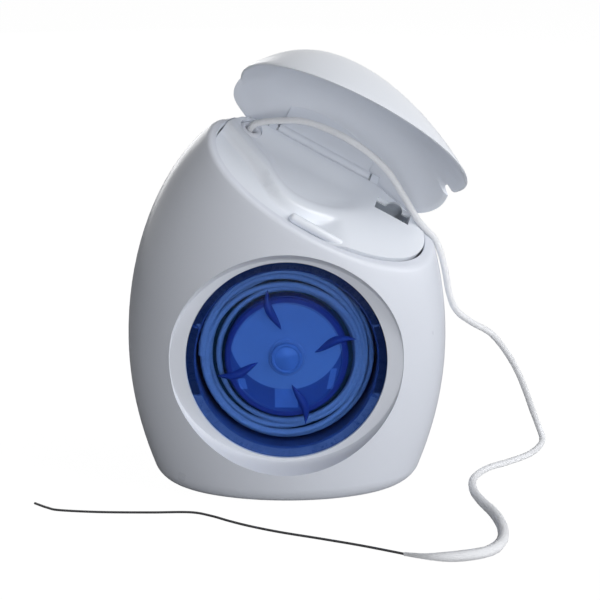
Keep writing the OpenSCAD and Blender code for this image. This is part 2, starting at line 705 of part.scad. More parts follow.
module tube(p, r, n, first) {
    polyhedron(tube_points(p, r, n, first), tube_faces(len(p), n), convexity = 10);
}

lay_gap = min([for (i = [0:lay_count], j = [i + turn_rings / 2:1:lay_count])
    norm(lay_inner[i] - lay_inner[j])]) - 2 * wound_r;
module floss_winding() {
    echo(winding_gap = lay_gap);
    color("aliceblue") in_spool() tube(lay_points, [for (p = lay_points) wound_r], 6, [0, 0, 1]);
}

// The floss from the spool up to the guide in the deck.
guide_low_z = guide_level - guide_neck - 0.2;
guide_low = from_rim([guide_at.x, guide_at.y, guide_low_z]);
feed_y = 2.2;
feed_clear = 0.22;
feed_axis_r = lay_r + wound_r + feed_clear + feed_r;
feed_far = norm([guide_low.x, guide_low.z - window_z]);
feed_angle = atan2(guide_low.z - window_z, guide_low.x) + acos(feed_axis_r / feed_far);
feed_low = [feed_axis_r * cos(feed_angle), feed_y, window_z + feed_axis_r * sin(feed_angle)];
module feed_strand() {
    d = guide_low - feed_low;
    color("azure") difference() {
        translate(feed_low) rotate([0, acos(d.z / norm(d)), atan2(d.y, d.x)])
            cylinder(h = norm(d) + 2, r = feed_r);
        in_rim() translate([-beyond / 2, -beyond / 2, guide_low_z]) cube(beyond);
    }
}

// The free floss: from the guide it arches over the deck, runs out over the right side of the
// rim and down to the ground, and curls forward there. The stiff threader carries on from it.
guide_top = from_rim([guide_at.x, guide_at.y, 0.4]);
strand_tip = [18.2, -37.7, 0.4];
strand_route = [guide_low, guide_top,
    [-4.3, 1.8, 61.6], [-1.8, 0.9, 62], [2.3, -0.6, 62.2], [6.4, -1.5, 61.1], [10.4, -2.2, 59.2],
    [14, -1.4, 56.6], [17, -0.6, 53.6], [19.4, 0, 49.8], [21.7, 0.2, 45.9], [23.3, 0.1, 43.9],
    [25, 0, 42], [26.1, -0.2, 39.4], [26.9, -0.2, 36.2], [27.6, 0, 32.6], [28.9, 0.6, 29.6],
    [31.7, 3, 27], [35.5, 6, 24.2], [38.6, 9.6, 20.1], [41.1, 13.1, 15.6], [43.2, 16.2, 10.8],
    [44.9, 18.6, 6.4], [46.1, 19.6, 3.4], [46.8, 18.6, 1.2], [45.7, 15, 0.7], [43, 10.2, 0.7],
    [39.2, 6.3, 0.7],
    [35, 2.6, 0.7], [32.2, -2.6, 0.7], [31.5, -8.8, 0.7], [32.4, -15, 0.75], [33.7, -21, 0.9],
    [34.3, -27, 0.9], [33.7, -33, 0.9], [31.2, -37.6, 0.9], [26.6, -39.8, 0.9], [22, -40, 0.85],
    strand_tip];
threader_route = [strand_tip, [16.1, -36.1, 0.25], [11.5, -33.6, 0.25], [5.4, -30.7, 0.25],
    [-1, -27.8, 0.25], [-5.8, -25.1, 0.25], [-9.1, -22.8, 0.25], [-12.4, -20.2, 0.25],
    [-15.8, -18.6, 0.25], [-22.3, -18.7, 0.25], [-30.5, -18.5, 0.25], [-37.2, -17.6, 0.25],
    [-39.4, -16.4, 0.25], [-41.8, -14.2, 0.25]];
strand_rings = 54;
threader_rings = 24;

// A smooth line through the points of a route, cut into n steps.
function bend(a, b, c, d, u) = 0.5 * (2 * b + (c - a) * u + (2 * a - 5 * b + 4 * c - d) * u * u
    + (3 * b - a - 3 * c + d) * u * u * u);
function route_at(p, v) = let (n = len(p) - 1, i = min(n - 1, floor(v)))
    bend(p[max(0, i - 1)], p[i], p[i + 1], p[min(n, i + 2)], v - i);
function smooth_route(p, n) = [for (k = [0:n]) route_at(p, k * (len(p) - 1) / n)];
function strand_size(u) = strand_r + (strand_end_r - strand_r) * ease(0.72, 0.86, u)
    - (strand_end_r - 1.5 * threader_r) * ease(0.94, 1, u);
module floss_strand() {
    n = strand_rings - 1;
    color("azure") tube(smooth_route(strand_route, n), [for (k = [0:n]) strand_size(k / n)], 8, [1, 0, 0]);
}
module floss_threader() {
    n = threader_rings - 1;
    color("dimgray") tube(smooth_route(threader_route, n), [for (k = [0:n]) threader_r], 8, [0, 0, 1]);
}

front_shell();
rear_shell();
deck();
hinge_pin();
lid();
cutter_blade();
floss_guide();
window_lens();
window_clamp();
spool_drum();
spool_flange();
spool_face();
drag_washer();
spindle();
spindle_cap();
floss_core();
floss_winding();
feed_strand();
floss_strand();
floss_threader();
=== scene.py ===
# %% [markdown]
# # A dental floss dispenser
# The object is an egg of glossy white plastic, cut off on a slant at the top. A domed lid swings
# on a hinge behind the cut, and a round blue window in the front shows the spool of floss.
# The floss comes up through an eyelet in the deck, runs over the edge and trails on the ground.
#
# The construction is made already, as solids at their real size. This lesson dresses it. Each
# piece that shows is modelled again as a fine mesh, in the same place, or keeps its solid and
# gets a finish. Lengths are in millimetres until a mesh is made, and metres from there on.

# %% Load the construction
import math
import random

import bmesh
import bpy
from mathutils import Matrix, Vector


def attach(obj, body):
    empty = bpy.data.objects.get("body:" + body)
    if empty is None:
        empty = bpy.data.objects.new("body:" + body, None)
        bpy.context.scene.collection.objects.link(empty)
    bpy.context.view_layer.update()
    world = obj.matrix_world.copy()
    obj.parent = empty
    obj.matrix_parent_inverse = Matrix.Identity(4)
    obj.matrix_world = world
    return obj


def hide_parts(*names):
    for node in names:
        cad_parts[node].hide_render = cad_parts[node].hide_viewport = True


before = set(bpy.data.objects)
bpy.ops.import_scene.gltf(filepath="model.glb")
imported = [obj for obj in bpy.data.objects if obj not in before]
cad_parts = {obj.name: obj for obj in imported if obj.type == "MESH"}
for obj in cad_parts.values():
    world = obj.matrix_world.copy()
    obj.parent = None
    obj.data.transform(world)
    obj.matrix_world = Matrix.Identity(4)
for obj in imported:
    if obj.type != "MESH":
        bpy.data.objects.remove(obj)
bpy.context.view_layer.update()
MM = 0.001
scene = bpy.context.scene
print("pieces in the construction:", len(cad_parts))

# %% [markdown]
# ## The camera
# The picture looks down on the object by 13 degrees from about 0.3 m, square to its front. A long
# lens keeps the egg from bulging. A camera could also be aimed with a constraint, but a plain
# place and a plain tilt are easier to check.

# %% The camera
camera_place = Vector((2.22, -292.31, 99.07)) * MM
camera_pitch = 13
camera = bpy.data.objects.new("camera", bpy.data.cameras.new("camera"))
camera.location = camera_place
camera.rotation_euler = (math.radians(90 - camera_pitch), 0, 0)
camera.data.lens = 105.97
camera.data.sensor_width = 36
camera.data.clip_start = 0.01
scene.collection.objects.link(camera)
scene.camera = camera
print("camera at", [round(v, 4) for v in camera.location])

# %% [markdown]
# ## The slanted rim
# The cut through the egg is a plane that falls to the right and to the front. Everything on top,
# the deck, the hinge, the cutter and the lid, is laid out on that plane, so it gets a frame of
# its own: x along the hinge, y to the rear and z square to the plane.

# %% The rim frame
rim_roll = 28.65
rim_pitch = 26.4
rim_middle = Vector((0, 0, 55.94))
roll_turn = Matrix.Rotation(math.radians(rim_roll), 3, "Y")
rim_turn = roll_turn @ Matrix.Rotation(math.radians(rim_pitch), 3, "X")


def from_rim(point):
    """A point of the rim frame in the object's own frame."""
    return rim_middle + rim_turn @ Vector(point)


def to_rim(point):
    """A point of the object's frame in the rim frame."""
    return rim_turn.transposed() @ (Vector(point) - rim_middle)


def ease(start, end, value):
    """A smooth step from 0 at start to 1 at end."""
    share = min(1.0, max(0.0, (value - start) / (end - start)))
    return share * share * (3 - 2 * share)


rim_lean = math.degrees(math.acos(rim_turn[2][2]))
print("the rim plane leans", round(rim_lean, 1), "degrees")

# %% [markdown]
# ## Meshes
# A piece is a list of points in millimetres and a list of faces. One helper turns them into an
# object in metres. Edges that fold by more than a set angle are marked sharp, and all faces are
# shaded smooth, which is how a moulded part looks: soft everywhere but at its true corners.


# %% Make a piece from points and faces
def finish_mesh(piece, sharp=35):
    """Recalculates the outside, shades the piece smooth and marks its real corners."""
    build = bmesh.new()
    build.from_mesh(piece.data)
    bmesh.ops.remove_doubles(build, verts=build.verts, dist=1e-7)
    bmesh.ops.recalc_face_normals(build, faces=build.faces)
    build.to_mesh(piece.data)
    build.free()
    piece.data.shade_smooth()
    piece.data.set_sharp_from_angle(angle=math.radians(sharp))
    return piece


def make_piece(name, points, faces, sharp=35):
    """A mesh object from points in millimetres."""
    mesh = bpy.data.meshes.new(name)
    mesh.from_pydata([tuple(Vector(p) * MM) for p in points], [], faces)
    piece = bpy.data.objects.new(name, mesh)
    scene.collection.objects.link(piece)
    return finish_mesh(piece, sharp)


def move_mesh(piece, matrix):
    """Moves a piece's points, so that the object itself stays at the origin."""
    piece.data.transform(matrix)
    piece.data.update()
    return piece


def in_millimetres(turn, place):
    """A 4x4 that turns and then moves by a place in millimetres."""
    return Matrix.Translation(Vector(place) * MM) @ turn.to_4x4()


print("mesh helpers ready")

# %% [markdown]
# A strand is a ring of points swept along a line. The rings are carried along without twisting,
# by taking the part of the last ring's direction that is square to the new one. A curve object
# with a bevel would do the same, but a mesh lets each ring have its own width and its own fuzz.


# %% Sweep a tube along a line
def tube_points(line, radius, sides, start_side, roughen=None):
    """Rings round each point of a line. radius is a function of the ring's number."""
    points = []
    side = Vector(start_side)
    for k, at in enumerate(line):
        way = (line[min(k + 1, len(line) - 1)] - line[max(k - 1, 0)]).normalized()
        side = (side - side.dot(way) * way).normalized()
        across = way.cross(side)
        for i in range(sides):
            angle = 2 * math.pi * i / sides
            r = radius(k) * (roughen(k, i) if roughen else 1)
            points.append(at + r * (math.cos(angle) * side + math.sin(angle) * across))
    return points


def tube_faces(rings, sides):
    """The faces of a tube with closed ends."""
    faces = []
    for k in range(rings - 1):
        for i in range(sides):
            j = (i + 1) % sides
            faces.append((k * sides + i, k * sides + j, (k + 1) * sides + j, (k + 1) * sides + i))
    faces.append(tuple(reversed(range(sides))))
    faces.append(tuple((rings - 1) * sides + i for i in range(sides)))
    return faces


def make_tube(name, line, radius, sides, start_side, roughen=None):
    points = tube_points(line, radius, sides, start_side, roughen)
    return make_piece(name, points, tube_faces(len(line), sides), sharp=60)


def bend(a, b, c, d, u):
    """A smooth curve from b to c that heads for a and d."""
    turning = (2 * a - 5 * b + 4 * c - d) * u * u + (3 * b - a - 3 * c + d) * u**3
    return 0.5 * (2 * b + (c - a) * u + turning)


def smooth_line(route, steps):
    """A smooth line through the points of a route, steps pieces from each point to the next."""
    last = len(route) - 1
    line = []
    for i in range(last):
        near = [Vector(route[min(last, max(0, i + k))]) for k in (-1, 0, 1, 2)]
        line += [bend(*near, j / steps) for j in range(steps)]
    return line + [Vector(route[last])]


def line_length(line):
    return sum((b - a).length for a, b in zip(line, line[1:]))


print("a tube of 2 rings with 6 sides has", len(tube_faces(2, 6)), "faces")

# %% [markdown]
# ## The floss
# The free end is soft nylon floss. It leaves the eyelet, arches over the deck, drops over the
# right side of the rim and winds down to the ground, where it swells into a spongy stretch and
# narrows again to a stiff threader, as thin as a bristle. Its route was drawn from the picture,
# and the same points shape the solid strand. The threader is a second cord that leaves the first.

# %% The routes
guide_x, guide_y, guide_low = -7.4, 3.0, -2.5
guide_foot = from_rim((guide_x, guide_y, guide_low))
guide_mouth = from_rim((guide_x, guide_y, 0.4))
strand_tip = (18.2, -37.7, 0.4)
strand_route = [
    guide_foot, guide_mouth,
    (-4.3, 1.8, 61.6), (-1.8, 0.9, 62), (2.3, -0.6, 62.2), (6.4, -1.5, 61.1), (10.4, -2.2, 59.2),
    (14, -1.4, 56.6), (17, -0.6, 53.6), (19.4, 0, 49.8), (21.7, 0.2, 45.9), (23.3, 0.1, 43.9),
    (25, 0, 42), (26.1, -0.2, 39.4), (26.9, -0.2, 36.2), (27.6, 0, 32.6), (28.9, 0.6, 29.6),
    (31.7, 3, 27), (35.5, 6, 24.2), (38.6, 9.6, 20.1), (41.1, 13.1, 15.6), (43.2, 16.2, 10.8),
    (44.9, 18.6, 6.4), (46.1, 19.6, 3.4), (46.8, 18.6, 1.2), (45.7, 15, 0.7), (43, 10.2, 0.7),
    (39.2, 6.3, 0.7), (35, 2.6, 0.7), (32.2, -2.6, 0.7), (31.5, -8.8, 0.7), (32.4, -15, 0.75),
    (33.7, -21, 0.9), (34.3, -27, 0.9), (33.7, -33, 0.9), (31.2, -37.6, 0.9), (26.6, -39.8, 0.9),
    (22, -40, 0.85), strand_tip,
]
threader_route = [
    strand_tip, (16.1, -36.1, 0.25), (11.5, -33.6, 0.25), (5.4, -30.7, 0.25), (-1, -27.8, 0.25),
    (-5.8, -25.1, 0.25), (-9.1, -22.8, 0.25), (-12.4, -20.2, 0.25), (-15.8, -18.6, 0.25),
    (-22.3, -18.7, 0.25), (-30.5, -18.5, 0.25), (-37.2, -17.6, 0.25), (-39.4, -16.4, 0.25),
    (-41.8, -14.2, 0.25),
]
strand_line = smooth_line(strand_route, 12)
threader_line = smooth_line(threader_route, 8)
for name, line in (("strand", strand_line), ("threader", threader_line)):
    print(name, round(line_length(line), 1), "mm")

# %% [markdown]
# Real floss isn't a smooth wire: its fibres lie a little loose. Each ring of the tube gets its own
# small swell, and each of its corners a ridge that turns slowly round the strand, like a bundle of
# fibres with a slight twist. The random numbers start from a fixed seed, so that every run gives
# the same strand.

# %% The free strand and its threader
strand_r = 0.55
spongy_r = 0.88
threader_r = 0.2
spongy_from, spongy_full, taper_from = 0.72, 0.86, 0.94
strand_sides = 14
swell_depth = 0.035
ridge_count, ridge_turn, ridge_depth = 5, 0.11, 0.05
draw = random.Random(7)
swell = [1 + swell_depth * draw.uniform(-1, 1) for _ in strand_line]


def strand_radius(k):
    """The strand is thin on the deck, spongy on the ground and narrow at its tip."""
    share = k / (len(strand_line) - 1)
    spongy = (spongy_r - strand_r) * ease(spongy_from, spongy_full, share)
    taper = (spongy_r - 1.5 * threader_r) * ease(taper_from, 1, share)
    return (strand_r + spongy - taper) * swell[k]


def fibre_ridges(k, i):
    turn = ridge_count * 2 * math.pi * i / strand_sides + ridge_turn * k
    return 1 + ridge_depth * math.sin(turn)


strand = make_tube("free_floss", strand_line, strand_radius, strand_sides, (1, 0, 0), fibre_ridges)
threader = make_tube("floss_threader_tip", threader_line, lambda k: threader_r, 10, (0, 0, 1))
for piece, node, slot in (
    (strand, "floss_strand", "floss"), (threader, "floss_threader", "threader"),
):
    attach(piece, "housing")
    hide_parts(node)
line_length(threader_line) * MM
[p * MM for p in threader_line]
guide_foot * MM
line_length(strand_line) * MM
[p * MM for p in strand_line]
print("the strand has", len(strand.data.polygons), "faces")

# %% [markdown]
# ## The egg
# The casing is an ellipse at every height. Below the waist it draws in a little towards the foot,
# and above the waist width, depth and height follow a quarter of a circle, with the depth falling
# off more slowly than the width. One formula gives the outside and, drawn in by the wall, the
# inside, so the walls are even everywhere. Sculpting could give the same form, but a formula lets
# shell, deck and lid share one surface exactly.

# %% Points of the egg
half_w = 27.0
half_d = 17.4
waist_z = 25.0
crown = 41.3
depth_power = 0.75
foot_taper = 0.204
foot_r = 3.0


def low_point(angle, z, inset):
    """A point below the waist, at an angle in degrees and a height."""
    foot = foot_r - math.sqrt(foot_r**2 - (foot_r - z) ** 2) if z < foot_r else 0
    width = half_w * (1 - foot_taper * ((waist_z - z) / waist_z) ** 2)
    depth = half_d * (width / half_w) ** depth_power
    a = math.radians(angle)
    return Vector(((width - inset - foot) * math.cos(a), (depth - inset - foot) * math.sin(a), z))


def up_point(angle, climb, inset):
    """A point above the waist, at an angle and a climb of 0 at the waist to 90 at the crown."""
    a, c = math.radians(angle), math.radians(climb)
    return Vector((
        (half_w - inset) * math.cos(c) * math.cos(a),
        (half_d - inset) * max(math.cos(c), 0) ** depth_power * math.sin(a),
        waist_z + (crown - inset) * math.sin(c),
    ))


# %% [markdown]
# The rim is where the egg meets the slanted plane. Behind the deck the rim falls away from the
# plane as a sloping shoulder. To find the climb at which a column of the egg meets that level,
# the code halves the range again and again, which is short and never fails.

# %% Where the egg meets the rim
deck_back = 5.6
shoulder_slope = 0.85
corner_left, corner_right = -6.5, 16.0
left_curve, right_slope = 0.13, 0.44


def back_line(x):
    """The rear edge of the deck, in the rim frame."""
    if x < corner_left:
        return deck_back - left_curve * (corner_left - x) ** 2
    return deck_back - right_slope * max(0, x - corner_right)


def shoulder(x, y):
    return shoulder_slope * max(0, y - back_line(x))


def rim_climb(angle, inset, level):
    """The climb at which the egg reaches a level over the rim plane."""
    low, high = 5.0, 86.0
    for _ in range(30):
        middle = (low + high) / 2
        at = to_rim(up_point(angle, middle, inset))
        if at.z + shoulder(at.x, at.y) < level:
            low = middle
        else:
            high = middle
    return (low + high) / 2


def rim_point(angle, inset, level):
    return up_point(angle, rim_climb(angle, inset, level), inset)


print("the rim's ends are", [round(rim_point(a, 0, 0).z, 1) for a in (0, 180)], "mm high")

# %% [markdown]
# ## Solids from columns, and cuts
# A shell is a fan of columns. Each column starts and ends on the middle line, and neighbours are
# joined by quads. Holes are then cut with the Boolean modifier, which is applied at once. Cutting
# a fine mesh leaves clean edges, and the smooth shading does the rest.


# %% Columns, lathes and cuts
def make_columns(name, columns, closed=True):
    """A solid from columns that share their first and last point."""
    rows = len(columns[0])
    points = [columns[0][0], columns[0][-1]]
    for column in columns:
        points += column[1:-1]

    def index(j, i):
        return 0 if i == 0 else 1 if i == rows - 1 else 2 + j * (rows - 2) + i - 1

    faces = []
    for j in range(len(columns) if closed else len(columns) - 1):
        k = (j + 1) % len(columns)
        for i in range(rows - 1):
            corners = [index(j, i), index(k, i), index(k, i + 1), index(j, i + 1)]
            faces.append([c for n, c in enumerate(corners) if c not in corners[:n]])
    if not closed:
        faces.append([index(0, i) for i in reversed(range(rows))])
        faces.append([index(len(columns) - 1, i) for i in range(rows)])
    return make_piece(name, points, faces)


def make_lathe(name, profile, steps=144, sharp=35):
    """A turned solid round its local z, from a closed profile of (radius, height)."""
    rings = len(profile)
    points = []
    for k in range(steps):
        a = 2 * math.pi * k / steps
        points += [(r * math.cos(a), r * math.sin(a), z) for r, z in profile]
    faces = []
    for k in range(steps):
        j = (k + 1) % steps
        for i in range(rings):
            h = (i + 1) % rings
            faces.append((k * rings + i, j * rings + i, j * rings + h, k * rings + h))
    return make_piece(name, points, faces, sharp)


def apply_change(piece):
    """Turns a piece's modifier into plain mesh."""
    bpy.context.view_layer.update()
    shown = piece.evaluated_get(bpy.context.evaluated_depsgraph_get())
    piece.data = bpy.data.meshes.new_from_object(shown)
    piece.modifiers.clear()


def combine(piece, tool, way):
    """Cuts, joins or trims a piece with a tool, which is then removed."""
    change = piece.modifiers.new("combine", "BOOLEAN")
    change.operation = way
    change.solver = "EXACT"
    change.object = tool
    apply_change(piece)
    bpy.data.objects.remove(tool)
    return finish_mesh(piece)


def cut(piece, tool):
    return combine(piece, tool, "DIFFERENCE")


def join(piece, tool):
    return combine(piece, tool, "UNION")


def rod(name, start, end, radius, steps=48):
    """A plain round bar between two points, used as a cutting tool or as the core of a piece."""
    way = Vector(end) - Vector(start)
    tool = make_lathe(name, [(0, 0), (radius, 0), (radius, way.length), (0, way.length)], steps)
    return move_mesh(tool, in_millimetres(way.to_track_quat("Z", "Y").to_matrix(), start))


def block(name, low, high):
    """A box between two corners."""
    wide, deep, tall = zip(low, high)
    corners = [(x, y, z) for x in wide for y in deep for z in tall]
    faces = [(0, 1, 3, 2), (4, 6, 7, 5), (0, 4, 5, 1), (2, 3, 7, 6), (0, 2, 6, 4), (1, 5, 7, 3)]
    return make_piece(name, corners, faces)


rim_matrix = in_millimetres(rim_turn, rim_middle)
print("tools ready")

# %% [markdown]
# ## Finishes
# Every finish is a small tree of nodes round one Principled shader. To keep the maths readable, a
# wrapped socket takes Python's own signs: 1 - mask adds a Math node that subtracts. Any other node
# comes from one method that takes its type, its settings and what goes into its sockets. The
# world's nodes come from it too, so it sits in a class of its own, which a finish builds on.


# %% Sockets that can be added and multiplied
class Value:
    """The output of a node, as a term of a Python expression."""

    def __init__(self, nodes, socket):
        self.nodes = nodes
        self.socket = socket

    def other(self, name):
        """Another output of the same node."""
        return Value(self.nodes, self.socket.node.outputs[name])

    def maths(self, operation, *terms):
        """A Math node. The terms are its sockets in order."""
        return self.nodes.node("ShaderNodeMath", {"operation": operation}, dict(enumerate(terms)))

    def __add__(self, other):
        return self.maths("ADD", self, other)

    def __mul__(self, other):
        return self.maths("MULTIPLY", self, other)

    def __sub__(self, other):
        return self.maths("SUBTRACT", self, other)

    def __rsub__(self, other):
        return self.maths("SUBTRACT", other, self)

    __radd__ = __add__
    __rmul__ = __mul__

    def root(self):
        return self.maths("SQRT", self)

    def at_most(self, limit):
        return self.maths("MINIMUM", self, limit)

    def at_least(self, limit):
        return self.maths("MAXIMUM", self, limit)

    def step(self, start, end):
        """A smooth step from 0 to 1."""
        values = {"Value": self, "From Min": start, "From Max": end}
        return self.nodes.node("ShaderNodeMapRange", {"interpolation_type": "SMOOTHSTEP"}, values)


class Nodes:
    """A tree of nodes, of a material or of the world."""

    def __init__(self, tree):
        self.tree = tree

    def put(self, socket, value):
        """Links a value to a socket, or sets the socket to a number, a vector or a colour."""
        if isinstance(value, Value):
            self.tree.links.new(value.socket, socket)
        elif socket.type == "RGBA":
            socket.default_value = (*value, 1)
        else:
            socket.default_value = value

    def node(self, kind, settings=None, values=None, out=0):
        """Adds a node: its settings first, then the values or links of its sockets."""
        made = self.tree.nodes.new(kind)
        for name, value in (settings or {}).items():
            setattr(made, name, value)
        for name, value in (values or {}).items():
            self.put(made.inputs[name], value)
        return Value(self, made.outputs[out])


class Finish(Nodes):
    """One material with a Principled shader, and the nodes that feed it."""

    def __init__(self, name, **plain):
        self.material = bpy.data.materials.new(name)
        self.material.use_nodes = True
        super().__init__(self.material.node_tree)
        self.shader = self.tree.nodes["Principled BSDF"]
        for socket, value in plain.items():
            self.feed(socket.replace("_", " "), value)

    def feed(self, socket, value):
        """Links or sets one socket of the shader."""
        self.put(self.shader.inputs[socket], value)

    def place(self, scale=(1, 1, 1)):
        """Where a point lies on the object, in metres, stretched by scale."""
        at = self.node("ShaderNodeTexCoord", out="Object")
        return self.node("ShaderNodeVectorMath", {"operation": "MULTIPLY"}, {0: at, 1: scale})

    def noise(self, scale, detail=2.0, rough=0.5, stretch=(1, 1, 1)):
        """Random spots, finer with a higher scale."""
        at = self.place(stretch)
        values = {"Vector": at, "Scale": scale, "Detail": detail, "Roughness": rough}
        return self.node("ShaderNodeTexNoise", None, values)

    def blend(self, share, first, second):
        """A colour between two colours."""
        values = {"Factor": share, 6: first, 7: second}
        return self.node("ShaderNodeMix", {"data_type": "RGBA"}, values, out=2)

    def tone(self, share, first, second):
        """A base colour between two colours."""
        self.feed("Base Color", self.blend(share, first, second))

    def bump(self, height, distance):
        """Small relief, distance metres deep."""
        values = {"Height": height, "Distance": distance}
        self.feed("Normal", self.node("ShaderNodeBump", None, values))

    def mix(self, share, other):
        """Mixes another shader in, by a share of 0 to 1."""
        shader = Value(self, self.shader.outputs[0])
        mixed = self.node("ShaderNodeMixShader", None, {0: share, 1: shader, 2: other})
        self.put(self.tree.nodes["Material Output"].inputs["Surface"], mixed)

    def dress(self, *pieces):
        for piece in pieces:
            piece.data.materials.clear()
            piece.data.materials.append(self.material)


def hand_over(piece, body, finish, node=None):
    """Says what a piece moves with and dresses it, and hides the solid it stands for, if it has one.
    """
    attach(piece, body)
    finish.dress(piece)
    if node:
        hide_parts(node)


print("finish helper ready")

# %% [markdown]
# ## White casing plastic
# The casing is glossy moulded plastic, white with a cool cast. A moulded surface is never quite
# even: it has a faint flow of tone, slow waves left by cooling that bend its highlights, and very
# fine grain. All three are noise at three sizes. An even colour would look like paper. The lid's
# and the deck's white are a little brighter than the casing's, which stands in for the light that
# the real ones throw at each other, and the deck is glossier.

# %% The casing finish
def moulded(name, low, high, level, gloss, depth):
    """White plastic: a faint flow in the colour, a slight waviness and a fine grain."""
    made = Finish(name, Specular_IOR_Level=level)
    made.tone(made.noise(28, 3), low, high)
    made.feed("Roughness", gloss + 0.05 * made.noise(160, 3))
    made.bump(made.noise(38, 1) + 0.004 * made.noise(1400, 2), depth)
    return made


casing = moulded("casing_white", (0.70, 0.735, 0.815), (0.73, 0.765, 0.845), 0.4, 0.26, 0.00012)
cover = moulded("casing_lid", (0.80, 0.835, 0.905), (0.83, 0.865, 0.93), 0.4, 0.26, 0.00012)
tray = moulded("casing_deck", (0.86, 0.90, 0.97), (0.88, 0.92, 0.99), 0.55, 0.15, 0.00008)
print(casing.material.name, cover.material.name, tray.material.name)

# %% [markdown]
# ## Metal, guide and rubber
# The cutter is stamped steel. Its grain runs along the strip, so the noise is drawn out 25 times
# along x. The tooth's steel is darker, which is painted shade on its dark side, and its grain is
# upright. The eyelet is a harder, whiter plastic. The drag washer is dark rubber.

# %% Steel, guide and rubber finishes
steel = Finish("brushed_steel", Metallic=1.0)
steel_grain = steel.noise(9000, 3, 0.6, stretch=(0.04, 1, 1))
steel.tone(steel.noise(900, 2), (0.60, 0.62, 0.64), (0.74, 0.76, 0.78))
steel.feed("Roughness", 0.26 + 0.16 * steel_grain)
steel.bump(steel_grain, 0.000004)

# Darker steel for the tooth: the dark tone is painted shade on its dark side.
dark_steel = Finish("tooth_steel_shade", Metallic=1.0)
dark_grain = dark_steel.noise(7000, 3, 0.6, stretch=(1, 1, 0.05))
dark_steel.tone(dark_grain, (0.12, 0.14, 0.17), (0.22, 0.24, 0.27))
dark_steel.feed("Roughness", 0.32 + 0.12 * dark_grain)


def smooth_plastic(name, low, high, gloss, spread, patches=300, grain=900):
    """Plain plastic: soft patches in the colour and a fine grain in the gloss."""
    made = Finish(name)
    made.tone(made.noise(patches, 3), low, high)
    made.feed("Roughness", gloss + spread * made.noise(grain, 3))
    return made


eyelet = smooth_plastic(
    "eyelet_plastic", (0.70, 0.73, 0.80), (0.78, 0.80, 0.86), 0.3, 0.1, grain=1500)
eyelet.bump(eyelet.noise(1800, 2), 0.00001)

rubber = Finish("washer_rubber", Roughness=0.8)
rubber.tone(rubber.noise(1200, 4), (0.035, 0.035, 0.038), (0.06, 0.06, 0.065))
rubber.bump(rubber.noise(3500, 4), 0.00003)
print("metals and rubber ready")

# %% [markdown]
# ## Floss
# The floss is matt white nylon. Fibre shows as fine streaks along the strand, here as noise with
# many small sizes, and as small shadows between the filaments, which the bump gives. The wound
# floss is darker, because light hardly gets in between its turns.

# %% The floss finishes
def fibrous(name, low, high, rough, depth, **plain):
    """Matt fibre: one fine noise moves the colour, the roughness and the relief."""
    made = Finish(name, **plain)
    fuzz = made.noise(2400, 5, 0.65)
    made.tone(fuzz, low, high)
    made.feed("Roughness", rough + 0.2 * fuzz)
    made.bump(fuzz, depth)
    return made


floss = fibrous(
    "floss_nylon", (0.82, 0.84, 0.88), (0.94, 0.95, 0.98), 0.65, 0.00012,
    Sheen_Weight=0.25, Sheen_Roughness=0.5)
coil_floss = fibrous("coil_floss", (0.38, 0.42, 0.50), (0.58, 0.62, 0.70), 0.6, 0.00008)

bristle = Finish("threader_bristle")
bristle.tone(bristle.noise(900, 3), (0.018, 0.018, 0.02), (0.04, 0.04, 0.045))
bristle.feed("Roughness", 0.38 + 0.15 * bristle.noise(2500, 2))
print("floss ready")

# %% [markdown]
# ## Blue window and spool
# The window is clear plastic of a strong blue. Light goes in through it, comes off the white
# floss, and leaves through it again, so all behind it turns blue by itself. The shader is glass
# with a tint, and a low index keeps its mirror image faint, as in the picture. Light on its way
# from a lamp would stop at it, so for those rays alone a Transparent shader takes its place, by the
# Light Path node. Its colour is the square root of the tint, because light passes it twice.

# %% The window finish
lens_tint = (0.28, 0.42, 0.68)
lens = Finish(
    "window_blue", Base_Color=lens_tint, Roughness=0.04, IOR=1.15, Transmission_Weight=1.0)
lens_lamp = lens.node("ShaderNodeLightPath", out="Is Shadow Ray")
lens_clear = lens.node("ShaderNodeBsdfTransparent", None, {"Color": [c**0.5 for c in lens_tint]})
lens.mix(lens_lamp, lens_clear)
print("window tint", lens_tint)

# %% [markdown]
# The spool's disc is clear blue plastic too, with the slotted drum showing through its lower part.
# Its colour holds painted light and shade: it is a little darker towards the top, the drum's lower
# part is painted shade below a circle, the drum's slots are lighter shapes in that shade, and a ring
# at the edge is darker. Masks draw it: a step on the distance from a point gives the circle, and
# steps on x and z give the slots. Distances are in millimetres, from the spool's axis. A slot is
# five
# numbers: how its sides lean, its left and right side, and its foot and top.

# %% The spool's finishes
window_z = 24.0
bright_z, bright_r = 4.0, 9.5
edge_r = 9.25
drum_slots = (
    (0, -1.95, 1.85, -8.6, -5.4), (0.25, -9.0, -7.8, -5.4, -3.6), (-0.2, 7.7, 8.7, -5.4, -1.9),
)
spool_blue = Finish("spool_blue")
spool_at = spool_blue.node("ShaderNodeSeparateXYZ", None, {0: spool_blue.place([1 / MM] * 3)})
across = spool_at.other("X")
upward = spool_at.other("Z") - window_z


def disc_mask(x, z, radius, soft):
    """1 outside a circle, 0 inside."""
    return (x * x + z * z).root().step(radius - soft, radius + soft)


def bar_mask(value, low, high, soft=0.1):
    """1 between two values."""
    return value.step(low - soft, low + soft) * (1 - value.step(high - soft, high + soft))


def slot_mask(lean, left, right, foot, top):
    return bar_mask(across + lean * upward, left, right) * bar_mask(upward, foot, top)
